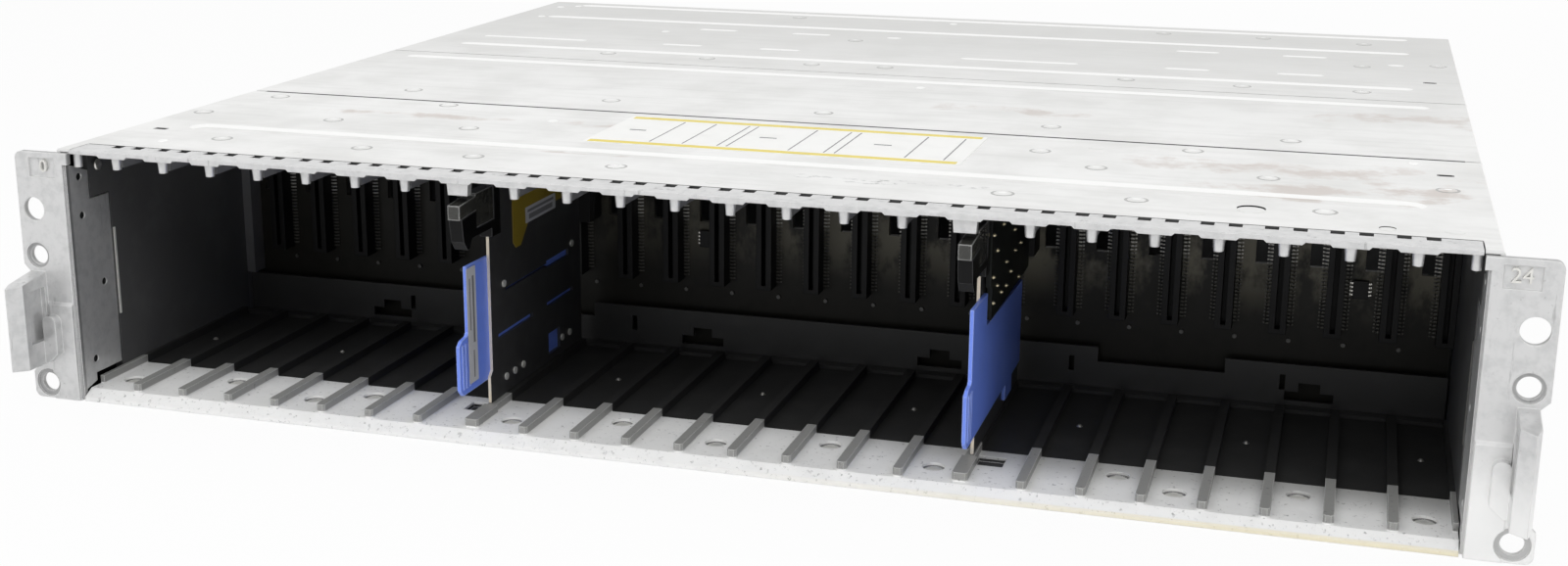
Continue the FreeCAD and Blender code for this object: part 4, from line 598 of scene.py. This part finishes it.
def galvanised_sheet(colours):
    """Galvanised sheet, rolled and pressed: satin zinc with old brown stains and scuffs."""
    material, tree, shader, coords = new_finish("galvanised_sheet", Metallic=0.9)
    base = zinc_coat(colours, tree, coords)
    for middle, reach in STAINS:
        base = painted(tree, base, colours.zinc_stain, spot(tree, coords, middle, reach))
    rear = zone(tree, coords, *COVER_REAR)
    base = painted(tree, base, shifted(colours.zinc_cloud, 0.85), rear)
    sunk = zone(tree, coords, *COVER_SUNK)
    # Painted highlight on the slopes of the beads, and in all of an emboss behind the middle.
    base = painted(tree, base, colours.bead_highlight, sunk, zone(tree, coords, *BEAD_HIGHLIGHT))
    base = painted(tree, base, colours.bead_highlight, sunk, zone(tree, coords, *EMBOSS_HIGHLIGHT))
    soft = 0.3 * MM
    # Painted shade along the seams and in the slots.
    for left, right, near, far in SEAM_SHADE_PLACES:
        sides = (
            ("X", left - soft, left),
            ("X", right + soft, right),
            ("Y", near - soft, near, 0.9),
            ("Y", far + soft, far),
        )
        base = painted(tree, base, colours.groove, *zones(tree, coords, sides))
    scuffs = patches(tree, coords, 2.6, 0.5, 0.62, 0.8, (0.6, 1, 1))
    base = painted(tree, base, colours.grime, spot(tree, coords, *SCUFFS), scuffs)
    surface(tree, shader, coords, base, (0.34, 0.5), 1.6, 0.05)
    return material


def lined_pan(colours):
    """Galvanised pan: satin zinc outside, with painted shade inside, near black, and dark grey behind the
    midplane.
    """
    material, tree, shader, coords = new_finish("lined_pan", Specular_IOR_Level=0.1)
    base = zinc_coat(colours, tree, coords)
    inner = zones(tree, coords, PAN_INSIDE)
    bare = zones(tree, coords, PAN_BARE)
    # The coat here is painted shade: near black, and lighter behind the midplane.
    coat = painted(tree, colours.inside, colours.bay, zone(tree, coords, *PAN_REAR))
    base = painted(tree, painted(tree, base, coat, *inner), base, *bare)
    metal = painted(tree, ZINC_METAL, NONE, *inner)
    tree.links.new(painted(tree, metal, ZINC_METAL, *bare), shader.inputs["Metallic"])
    surface(tree, shader, coords, base, (0.4, 0.55), 1.6, 0.05, dull=inner)
    return material


def bay_sheet(colours):
    """Galvanised sheet of the module bays: satin zinc at the rear, painted shade towards the midplane."""
    material, tree, shader, coords = new_finish("bay_sheet", Specular_IOR_Level=0.1)
    # The coat here is painted shade towards the midplane.
    coat = zone(tree, coords, *BAY_SHADE)
    base = painted(tree, zinc_coat(colours, tree, coords), colours.bay, coat)
    tree.links.new(painted(tree, ZINC_METAL, NONE, coat), shader.inputs["Metallic"])
    surface(tree, shader, coords, base, (0.5, 0.65), 1.6, 0.05, dull=[coat])
    return material


def cast_zinc(colours, name, shaded_rows):
    """Die-cast zinc, tumbled: satin grey with flow marks and pits, round edges paler with wear and a painted
    highlight, painted shade where sunk, and painted light low on the right ear.
    """
    material, tree, shader, coords = new_finish(name, Metallic=0.6)
    flow = patches(tree, coords, 3.5, 0.4, 0.7, 0.6)
    base = painted(tree, colours.casting, colours.casting_shade, flow)
    base = painted(tree, base, colours.grime, patches(tree, coords, 1.3, 0.64, 0.76, 0.35))
    scratches = patches(tree, coords, 3, 0.62, 0.7, 0.35, (1, 1, 0.12))
    base = painted(tree, base, colours.grime, scratches)
    # Painted light: the right ear paler towards its foot.
    base = painted(tree, base, colours.sill, *zones(tree, coords, EAR_FOOT_LIGHT))
    # Painted shade where sunk.
    base = painted(tree, base, colours.groove, *zones(tree, coords, shaded_rows))
    surface(tree, shader, coords, base, (0.26, 0.42), 1.2, 0.15, 0.5, edge_highlight=colours.sill)
    return material


def worn_sill(colours):
    """Die-cast zinc of the sill: pale floor, painted shade on the ribs, on the rear and in the recesses, and a
    yellowed lip.
    """
    material, tree, shader, coords = new_finish("worn_sill", Metallic=0.1)
    cloud = patches(tree, coords, 9, 0.45, 0.75, 0.6)
    base = painted(tree, colours.sill, shifted(colours.sill, 0.9), cloud)
    # Painted shade: darker towards the rear, more so on the right, and on the ribs.
    base = painted(tree, base, colours.casting_shade, zone(tree, coords, *SILL_REAR_SHADE))
    base = painted(tree, base, colours.pressed, *zones(tree, coords, SILL_RIGHT_SHADE))
    base = painted(tree, base, colours.sill_shade, zone(tree, coords, *SILL_RIB_SHADE))
    specks = patches(tree, coords, 1.6, 0.6, 0.7, 0.35, (1, 0.5, 1))
    base = painted(tree, base, colours.grime, specks, zone(tree, coords, *SILL_FRONT))
    # Painted shade in the recesses.
    base = painted(tree, base, colours.groove, *zones(tree, coords, SILL_RECESS_SHADE))
    base = painted(tree, base, colours.grime, patches(tree, coords, 1.5, 0.6, 0.72, 0.6))
    base = painted(tree, base, colours.worn_edge, *zones(tree, coords, SILL_LIP))
    surface(tree, shader, coords, base, (0.34, 0.5), 1.2, 0.15, 0.4, edge_highlight=colours.sill)
    return material


def satin(name, paint, factor, gloss, metallic=0.0, edge=None, specular=0.5, edge_highlight=None, worn=None):
    """A painted, plated or moulded surface: an even colour, worn in places and with a painted highlight along
    its edges where one is given, over a fine grain.
    """
    material, tree, shader, coords = new_finish(name, Metallic=metallic, Specular_IOR_Level=specular)
    base = painted(tree, paint, worn or shifted(paint, factor), patches(tree, coords, 14, 0.45, 0.75, 0.6))
    surface(tree, shader, coords, base, (gloss - 0.08, gloss + 0.08), 0.8, 0.12, edge, edge_highlight=edge_highlight)
    return material


def solder_mask(name, ground, field, height):
    """Circuit board: satin solder mask, with copper fields that show through it above a height and towards the
    right, placed there as painted light.
    """
    material, tree, shader, coords = new_finish(name, Specular_IOR_Level=0.2)
    base = painted(tree, ground, shifted(ground, 0.6), patches(tree, coords, 7, 0.45, 0.7, 0.6))
    copper = patches(tree, coords, 13, 0.42, 0.58, 0.8, (1, 1, 0.6))
    above = zone(tree, coords, "Z", height - 12 * MM, height + 8 * MM)
    # Copper fields: real, but laid high up and to the right as painted light.
    base = painted(tree, base, field, copper, above, zone(tree, coords, *COPPER_SIDE))
    surface(tree, shader, coords, base, (0.34, 0.5), 0.8, 0.08)
    return material


def tinned_legs(colours):
    """Tinned copper: dull and grey low down, with a painted highlight at the top ends."""
    material, tree, shader, coords = new_finish("tinned_leg", Metallic=0.4)
    worn = patches(tree, coords, 14, 0.45, 0.75, 0.6)
    base = painted(tree, colours.tin, shifted(colours.tin, 0.6), worn)
    # Painted highlight on the top ends.
    base = painted(tree, base, colours.screw, zone(tree, coords, *LEG_TOP_HIGHLIGHT))
    surface(tree, shader, coords, base, (0.32, 0.48), 0.8, 0.12)
    return material


def coated_plate(colours):
    """Steel plate with a black coat, worn to the bare metal along its front edge."""
    material, tree, shader, coords = new_finish("coated_plate", Metallic=0.2)
    dulled = patches(tree, coords, 6, 0.45, 0.75, 0.6)
    steel = painted(tree, colours.bare_steel, colours.casting_shade, dulled)
    coat = painted(tree, colours.coat, shifted(colours.coat, 1.8), patches(tree, coords, 6, 0.4, 0.8, 0.5))
    ahead = zone(tree, add(tree, "NewGeometry").outputs["True Normal"], *AHEAD)
    base = painted(tree, coat, steel, ahead, zone(tree, coords, *PLATE_EDGE))
    surface(tree, shader, coords, base, (0.34, 0.5), 0.8, 0.08)
    return material


def clear_acrylic(colours):
    """Moulded acrylic: smoky where it is seen through, with a painted highlight on its edges, and ripples that
    catch the light.
    """
    looks = {"Roughness": 0.04, "IOR": 1.49, "Transmission_Weight": 0.5}
    material, tree, shader, coords = new_finish("clear_acrylic", **looks)
    rounded = add(tree, "Bevel", [("Radius", 0.8 * MM)], samples=4).outputs[0]
    # Painted highlight: paper white along the edges.
    base = painted(tree, colours.smoke, colours.paper, edges(tree, rounded, 0.98))
    tree.links.new(base, shader.inputs["Base Color"])
    ripple = add(tree, "TexNoise", [("Vector", coords), ("Scale", per(3)), ("Detail", 1)])
    inputs = [("Height", ripple.outputs[0]), ("Strength", 0.15), ("Distance", 0.3 * MM), ("Normal", rounded)]
    tree.links.new(add(tree, "Bump", inputs).outputs[0], shader.inputs["Normal"])
    return material


def printed(name, ink):
    """Ink or paper of a sticker, a little uneven and rubbed."""
    return satin(name, ink, 0.9, 0.5)


def all_finishes(colours):
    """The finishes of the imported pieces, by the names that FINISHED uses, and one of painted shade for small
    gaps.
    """
    return {
        "sheet": galvanised_sheet(colours),
        "pan": lined_pan(colours),
        "casting": cast_zinc(colours, "cast_zinc", EAR_SINK_SHADE),
        "rail": cast_zinc(colours, "cast_rail", RAIL_SLOT_SHADE),
        "sill": worn_sill(colours),
        "liner": satin("liner_paint", colours.liner, 1.4, 0.45),
        "guide": satin("guide_paint", colours.guide, 1.5, 0.45, specular=0.2),
        # Painted light: a lighter grey than the floor guide plate.
        "fin": satin("fin_paint", colours.fin, 0.7, 0.4, specular=0.3),
        "bracket": satin("bracket_paint", colours.bracket, 1.4, 0.4),
        "post": satin("post_paint", colours.post, 0.7, 0.4),
        # Painted shade for small gaps.
        "inside": satin("inside_paint", colours.inside, 1.5, 0.8, specular=0.05),
        "bay": bay_sheet(colours),
        "screw": satin("plated_screw", colours.screw, 1.0, 0.3, 0.85, worn=colours.casting_shade),
        "pale_screw": satin("pale_screw", colours.pale_screw, 1.0, 0.3, 0.3, worn=colours.casting_shade),
        "dull_screw": satin("dull_screw", colours.dull_screw, 0.7, 0.4, 0.6),
        "board": solder_mask("midplane_mask", colours.board, colours.board_field, BOARD_COPPER),
        "plastic": satin("black_nylon", colours.plastic, 1.6, 0.5, edge=0.3, specular=0.25),
        "gloss": satin("gloss_nylon", colours.plastic, 1.4, 0.15, edge=0.4, specular=0.15, edge_highlight=colours.post),
        "plate": coated_plate(colours),
        "card": solder_mask("card_mask", colours.card_board, shifted(colours.card_board, 2.0), CARD_COPPER),
        "film": satin("amber_film", colours.film, 0.7, 0.3),
        "tag": satin("blue_nylon", colours.blue, 0.9, 0.35, edge=0.6, edge_highlight=colours.blue_edge),
        "clear": clear_acrylic(colours),
    }


FINISHED = {
    "sheet": ("front_cover", "middle_cover", "rear_cover"),
    "pan": ("base_pan",),
    "casting": ("left_ear", "right_ear"),
    "rail": ("upper_guide_rail",),
    "sill": ("lower_guide_sill",),
    "liner": ("left_wall_liner", "right_wall_liner"),
    "guide": ("floor_guide_plate",),
    "fin": ("upper_guide_plate",),
    "bracket": ("midplane_lower_bracket", "midplane_upper_bracket"),
    "post": ("midplane_posts",),
    "bay": ("left_bay_wall", "right_bay_wall", "module_shelf"),
    "screw": ("floor_rivets", "ear_screws"),
    "pale_screw": ("sill_screws",),
    "dull_screw": ("midplane_screws",),
    "board": ("midplane_board",),
    "plastic": ("drive_connectors", "card_sockets", "module_connectors", "board_chips"),
}
CARD_FINISHED = {
    "plate": ("card_plate",),
    "card": ("card_board",),
    "screw": ("card_spacers",),
    "pale_screw": ("card_rivets",),
    "plastic": ("card_plug",),
    "gloss": ("pipe_holder",),
    "film": ("insulator",),
    "tag": ("pull_tag",),
    "clear": ("light_pipe",),
}


class ENCLOSURE_OT_camera(bpy.types.Operator):
    """Places the camera of the photograph"""

    bl_idname = "enclosure.camera"
    bl_label = "Camera"

    def execute(self, context):
        turn, dip, roll = (radians(angle) for angle in (CAMERA_TURN, CAMERA_DIP, CAMERA_ROLL))
        ahead = Vector((sin(turn) * cos(dip), cos(turn) * cos(dip), -sin(dip)))
        level = ahead.cross(Vector((0, 0, 1))).normalized()
        upright = level.cross(ahead)
        right = cos(roll) * level + sin(roll) * upright
        up = cos(roll) * upright - sin(roll) * level
        axes = Matrix((right, up, -ahead)).transposed().to_4x4()
        bpy.ops.object.camera_add()
        camera = context.object
        camera.name = "photo_camera"
        camera.matrix_world = Matrix.Translation(place(*CAMERA_PLACE)) @ axes
        camera.data.sensor_width = SENSOR_WIDTH
        camera.data.lens = FOCAL_PIXELS / IMAGE_WIDTH * SENSOR_WIDTH
        camera.data.shift_x = (IMAGE_WIDTH / 2 - AXIS_PIXEL[0]) / IMAGE_WIDTH
        camera.data.shift_y = (AXIS_PIXEL[1] - IMAGE_HEIGHT / 2) / IMAGE_WIDTH
        camera.data.clip_start = 0.01
        context.scene.camera = camera
        return {"FINISHED"}


class ENCLOSURE_OT_finishes(bpy.types.Operator):
    """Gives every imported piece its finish"""

    bl_idname = "enclosure.finishes"
    bl_label = "Finishes"

    def execute(self, context):
        finishes = all_finishes(context.scene.enclosure_colours)
        wanted = {name: finishes[finish] for finish, names in FINISHED.items() for name in names}
        for side in ("left", "right"):
            for finish, names in CARD_FINISHED.items():
                wanted.update({f"{side}_{name}": finishes[finish] for name in names})
        if set(wanted) != set(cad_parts):
            raise RuntimeError(f"no finish for {sorted(set(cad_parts) ^ set(wanted))}")
        for name, finish in wanted.items():
            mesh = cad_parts[name].data
            mesh.materials.clear()
            mesh.materials.append(finish)
        return {"FINISHED"}


class ENCLOSURE_OT_dimples(bpy.types.Operator):
    """Makes the pressed dimples and part-sheared slugs of the covers, with painted shade and painted highlights
    on the dimples
    """

    bl_idname = "enclosure.dimples"
    bl_label = "Cover dimples"

    def execute(self, context):
        sizes = context.scene.enclosure_sizes
        radius, rim = sizes.dimple_radius, sizes.dimple_height / MM
        top = Vector((0, 0, COVER_TOP))
        colours = context.scene.enclosure_colours
        sheet = bpy.data.materials["galvanised_sheet"]
        # Painted shade: a dull ring round each dimple. Painted highlight: bright centres and small dimples.
        pressed = satin("pressed_zinc", colours.pressed, 1.2, 0.3, 0.9)
        highlight = satin("bright_zinc", colours.bead_highlight, 0.95, 0.3, 0.6)
        crater = ((0.34, rim), (0.08, 0), (0.26, 0.1 - rim), (0.1, 0.02))
        shallow = ((0.3, rim * 0.6), (0.1, 0), (0.26, -0.5 * rim))
        # Name, places, width as a share of a dimple's, height in millimetres, steps of the top and finish.
        kinds = (
            ("dimple_halos", COVER_DIMPLES, 1.3, 0.03, ((0.04, 0.005),), pressed),
            ("cover_dimples", COVER_DIMPLES, 1.0, 0.06, crater, sheet),
            ("dimple_centres", COVER_DIMPLES, 0.55, 0.25, ((0.5, 0.15),), highlight),
            ("small_dimples", SMALL_DIMPLES, 0.7, 0.06, shallow, highlight),
            ("flat_marks", FLAT_MARKS, 1.0, 0.06, ((0.3, 0.12), (0.1, 0), (0.2, -0.12)), sheet),
        )
        for name, places, wide, lift, steps, finish in kinds:
            head = boss(name, radius * wide, lift * MM, steps)
            shifts = [place(x, y, 0) + top for x, y in places]
            settle(repeat(head, shifts), "enclosure", finish)
        # The first disc is a painted shadow: a dark disc that shows as a crescent behind the slug.
        # Name, radius and shift ahead as shares of the slug's, height and rise in millimetres, finish.
        discs = (
            ("slug_gap", 1.0, 0.0, 0.06, 0.01, bpy.data.materials["inside_paint"]),
            ("slug", 0.97, 0.5, 0.08, 0.03, sheet),
        )
        for index, (x, y, reach) in enumerate(COVER_SLUGS):
            for name, wide, ahead, lift, rise, finish in discs:
                disc = boss(f"{name}_{index}", reach * wide * MM, lift * MM, ((0.1, rise),), 32)
                stand(disc, place(x, y - ahead * reach, 0) + top, "z")
                settle(disc, "enclosure", finish)
        return {"FINISHED"}


class ENCLOSURE_OT_sticker(bpy.types.Operator):
    """Makes the plain sticker on the front cover"""

    bl_idname = "enclosure.sticker"
    bl_label = "Cover sticker"

    def execute(self, context):
        colours = context.scene.enclosure_colours
        thick = context.scene.enclosure_sizes.sticker_thickness
        low, high = Vector(STICKER_LOW), Vector(STICKER_HIGH)
        centre, size = (low + high) / 2, high - low
        top = COVER_TOP / MM

        def field(name, x, y, width, depth):
            """A printed field on the sticker, in millimetres from its middle."""
            middle = place(centre.x + x, centre.y + y, top) + Vector((0, 0, thick))
            return slab(name, middle, width * MM, depth * MM, thick / 3, 0.2 * MM)

        paper = slab("sticker", place(centre.x, centre.y, top), size.x * MM, size.y * MM, thick, 1.2 * MM)
        settle(paper, "enclosure", printed("sticker_paper", colours.paper))
        edge = (size.y - BAND_WIDTH) / 2 - BAND_MARGIN
        bands = [field("band", 0, side * edge, size.x - BAND_ENDS, BAND_WIDTH) for side in (-1, 1)]
        yellow = printed("yellow_ink", colours.print_yellow)
        settle(join("sticker_bands", bands), "enclosure", yellow)
        tall = size.y - 2 * BAND_WIDTH - RULE_GAPS
        rules = [field("rule", (share - 0.5) * size.x, 0, RULE_WIDTH, tall) for share in STICKER_RULES]
        rules += [field("line", (share - 0.5) * size.x, 0, *LINE_SIZE) for share in STICKER_LINES]
        grey = printed("grey_ink", colours.print_grey)
        settle(join("sticker_rules", rules), "enclosure", grey)
        return {"FINISHED"}


class ENCLOSURE_OT_numbers(bpy.types.Operator):
    """Makes the bay numbers on the ears"""

    bl_idname = "enclosure.numbers"
    bl_label = "Ear numbers"

    def execute(self, context):
        sizes = context.scene.enclosure_sizes
        for name, text, x in EAR_NUMBERS:
            bpy.ops.object.select_all(action="DESELECT")
            bpy.ops.object.text_add()
            letters = context.object.data
            letters.body = text
            letters.align_x = letters.align_y = "CENTER"
            letters.size = sizes.digit_height * TEXT_SIZE
            letters.extrude = sizes.digit_relief
            letters.resolution_u = 3
            bpy.ops.object.convert(target="MESH")
            piece = context.object
            piece.name = name
            stand(piece, place(x, 0, NUMBER_HEIGHT), "-y")
            # The numbers are cast with the ears; their pale finish is a painted highlight.
            settle(piece, "enclosure", bpy.data.materials["pale_screw"])
        return {"FINISHED"}


class ENCLOSURE_OT_legs(bpy.types.Operator):
    """Makes the soldered legs of the drive connectors and the chips"""

    bl_idname = "enclosure.legs"
    bl_label = "Connector legs"

    def comb(self, sizes, name, side, count, share):
        """A row of bent legs beside a housing whose side is at the origin, each a share of the full reach."""
        width, reach = sizes.leg_width, sizes.leg_reach * share
        thick = LEG_THICKNESS
        leg = start(name, "cube", size=1, location=(side * reach / 4, -2 * thick, 0))
        leg.scale = (reach / 2, thick, width)
        apply_place(leg)
        edit_faces(leg, lambda face: face.normal.x * side > 0.5)
        for drop in (1.4 * thick, 0):
            step = {"value": (side * reach / 4, drop, 0)}
            bpy.ops.mesh.extrude_region_move(TRANSFORM_OT_translate=step)
        bpy.ops.object.mode_set(mode="OBJECT")
        row = leg.modifiers.new("row", "ARRAY")
        row.count = count
        row.use_relative_offset = False
        row.use_constant_offset = True
        row.constant_offset_displace = (0, 0, sizes.leg_pitch)
        bpy.ops.object.modifier_apply(modifier="row")
        return leg

    def execute(self, context):
        sizes = context.scene.enclosure_sizes
        middles = [
            first + CONNECTOR_PITCH * index for first, count in CONNECTOR_GROUPS for index in range(count)
        ]
        tin = tinned_legs(context.scene.enclosure_colours)
        plated = bpy.data.materials["plated_screw"]
        groups = (
            ("connector_legs", middles, CONNECTOR_HALF, LEG_LOW, LEG_COUNT, tin, 1.0),
            ("chip_legs", CHIP_MIDDLES, CHIP_HALF, CHIP_LOW, CHIP_LEGS, plated, CHIP_SHARE),
        )
        for name, across, half, low, count, finish, share in groups:
            rows = []
            for side in (-1, 1):
                comb = self.comb(sizes, f"{name}_{side}", side, count, share)
                rows.append(repeat(comb, [place(x + side * half, BOARD_FRONT, low) for x in across]))
            settle(join(name, rows), "enclosure", finish)
        return {"FINISHED"}


class ENCLOSURE_OT_card_details(bpy.types.Operator):
    """Makes the soldered pins and the plain labels of the cards"""

    bl_idname = "enclosure.card_details"
    bl_label = "Card details"

    def execute(self, context):
        sizes = context.scene.enclosure_sizes
        colours = context.scene.enclosure_colours
        outer = CARD[1].x / MM
        solder = satin("soldered_pin", colours.pin, 0.7, 0.3, 0.7)
        for side, name, facing in ((1, "right", "x"), (-1, "left", "-x")):
            pin = boss(f"{name}_card_pins", sizes.pin_radius, 0.3 * MM, ((0.35, 0.3), (0.3, 0.3)), 10)
            stand(pin, Vector((0, 0, 0)), facing)
            pins = repeat(pin, [place(side * outer, y, z) for y, z in CARD_PINS])
            settle(pins, f"{name}_card", solder)
        paper = printed("label_paper", colours.grey_paper)
        ink = bpy.data.materials["grey_ink"]
        for name, carrier, (y, z), (wide, tall), bars in CARD_LABELS:
            x = carrier[1].x / MM
            label = slab(name, place(x, y, z), wide * MM, tall * MM, LABEL_THICKNESS * MM, 0.3 * MM, "x")
            settle(label, "left_card", paper)
            lines = []
            for along, up, long, high in bars:
                middle = place(x + LABEL_THICKNESS, y + along, z + up)
                bar = slab("bar", middle, long * MM, high * MM, BAR_THICKNESS * MM, 0.1 * MM, "x")
                lines.append(bar)
            settle(join(f"{name}_bars", lines), "left_card", ink)
        return {"FINISHED"}


class ENCLOSURE_OT_side_details(bpy.types.Operator):
    """Makes the edge strips, liner screws and black discs of painted shade in the bores inside the ears"""

    bl_idname = "enclosure.side_details"
    bl_label = "Side details"

    def execute(self, context):
        screw = bpy.data.materials["plated_screw"]
        pale = bpy.data.materials["pale_screw"]
        dull = bpy.data.materials["dull_screw"]
        dark = bpy.data.materials["black_nylon"]
        inner = LINER[0].x / MM
        for side, name, facing in ((1, "right", "-x"), (-1, "left", "x")):
            head = boss(f"{name}_liner_screw", 1.9 * MM, 0.4 * MM, ((0.25, 0.3), (0.3, -0.3)), 16)
            stand(head, place(side * inner, *LINER_SCREW), facing)
            settle(head, "enclosure", screw)
            middle = place(side * EDGE_STRIP_BASE, *EDGE_STRIP)
            strip = slab(f"{name}_edge_strip", middle, *EDGE_STRIP_SIZE, 0.2 * MM, facing)
            # Painted light and shade: the left strip pale, the right one dull.
            settle(strip, "enclosure", pale if side < 0 else dull)
            # Painted shade: black discs sunk in the bores.
            shade_disc = boss(f"{name}_bore_plugs", 1.25 * MM, 0.4 * MM, ((0.3, -0.15), (0.3, 0.1)), 12)
            stand(shade_disc, Vector((0, 0, 0)), facing)
            shade_discs = repeat(shade_disc, [place(side * EAR_BLOCK_FACE, y, z) for y, z in EAR_BORES])
            settle(shade_discs, "enclosure", dark)
        return {"FINISHED"}


class ENCLOSURE_OT_stage(bpy.types.Operator):
    """Makes the pale floor, the even light and the three lamps"""

    bl_idname = "enclosure.stage"
    bl_label = "Stage"

    def execute(self, context):
        sizes = context.scene.enclosure_sizes
        floor = start("floor", "plane", size=FLOOR_SIZE, location=(0, 0, -FLOOR_DROP))
        apply_place(floor)
        floor.data.materials.append(self.pale_floor(context.scene.enclosure_colours))
        for name, size, stand_at, aim in LAMPS:
            bpy.ops.object.light_add(type="AREA", location=stand_at)
            lamp = context.object
            lamp.name = f"{name}_lamp"
            lamp.data.shape = "RECTANGLE"
            lamp.data.energy = getattr(sizes, f"{name}_power")
            lamp.data.size, lamp.data.size_y = size
            lamp.visible_glossy = False
            lamp.rotation_euler = (Vector(aim) - Vector(stand_at)).to_track_quat("-Z", "Y").to_euler()
        self.even_light(context, sizes.sky)
        context.scene.view_settings.view_transform = "Standard"
        return {"FINISHED"}

    def seen(self, tree):
        """Share of the rays that come from the eye or from a mirror."""
        path = add(tree, "LightPath")
        share = path.outputs["Is Camera Ray"]
        for name in ("Is Glossy Ray", "Is Transmission Ray"):
            share = add(tree, "Math", [(0, share), (1, path.outputs[name])], operation="MAXIMUM").outputs[0]
        return share

    def empty_tree(self, block):
        """The node tree of a material or a world, emptied."""
        block.use_nodes = True
        block.node_tree.nodes.clear()
        return block.node_tree

    def pale_floor(self, colours):
        """A matt pale floor that looks white and keeps a faint shadow."""
        material = bpy.data.materials.new("pale_floor")
        tree = self.empty_tree(material)
        matt = add(tree, "BsdfDiffuse", [("Color", colours.floor)])
        white = add(tree, "Emission", [("Strength", 1.0)])
        share = add(tree, "Math", [(0, self.seen(tree)), (1, FLOOR_WHITE)], operation="MULTIPLY")
        both = add(tree, "MixShader", [(0, share.outputs[0]), (1, matt.outputs[0]), (2, white.outputs[0])])
        add(tree, "OutputMaterial", [("Surface", both.outputs[0])])
        return material

    def even_light(self, context, strength):
        """A white surround that lights the object at a plain level, mostly from above."""
        context.scene.world = bpy.data.worlds.new("studio")
        tree = self.empty_tree(context.scene.world)
        above = zone(tree, add(tree, "TexCoord").outputs["Generated"], *SKY_RISE, strength)
        low = add(tree, "Math", [(0, above), (1, SKY_LOW)], operation="MAXIMUM")
        inputs = [("Value", self.seen(tree)), ("To Min", low.outputs[0]), ("To Max", 1.0)]
        level = add(tree, "MapRange", inputs)
        back = add(tree, "Background", [("Color", FULL), ("Strength", level.outputs[0])])
        add(tree, "OutputWorld", [("Surface", back.outputs[0])])


OPERATORS = (
    ENCLOSURE_OT_camera,
    ENCLOSURE_OT_finishes,
    ENCLOSURE_OT_dimples,
    ENCLOSURE_OT_sticker,
    ENCLOSURE_OT_numbers,
    ENCLOSURE_OT_legs,
    ENCLOSURE_OT_card_details,
    ENCLOSURE_OT_side_details,
    ENCLOSURE_OT_stage,
)


class ENCLOSURE_PT_panel(bpy.types.Panel):
    """Lists the enclosure's steps"""

    bl_idname = "ENCLOSURE_PT_panel"
    bl_label = "Storage enclosure"
    bl_space_type = "VIEW_3D"
    bl_region_type = "UI"
    bl_category = "Enclosure"

    def draw(self, context):
        for operator in OPERATORS:
            self.layout.operator(operator.bl_idname)


CLASSES = (EnclosureColours, EnclosureSizes, *OPERATORS, ENCLOSURE_PT_panel)


def register():
    for item in CLASSES:
        bpy.utils.register_class(item)
    bpy.types.Scene.enclosure_colours = PointerProperty(type=EnclosureColours)
    bpy.types.Scene.enclosure_sizes = PointerProperty(type=EnclosureSizes)


def unregister():
    del bpy.types.Scene.enclosure_sizes
    del bpy.types.Scene.enclosure_colours
    for item in reversed(CLASSES):
        bpy.utils.unregister_class(item)


def main():
    """Builds the scene step by step."""
    register()
    for operator in OPERATORS:
        getattr(bpy.ops.enclosure, operator.bl_idname.split(".")[1])()


if __name__ == "__main__":
    main()
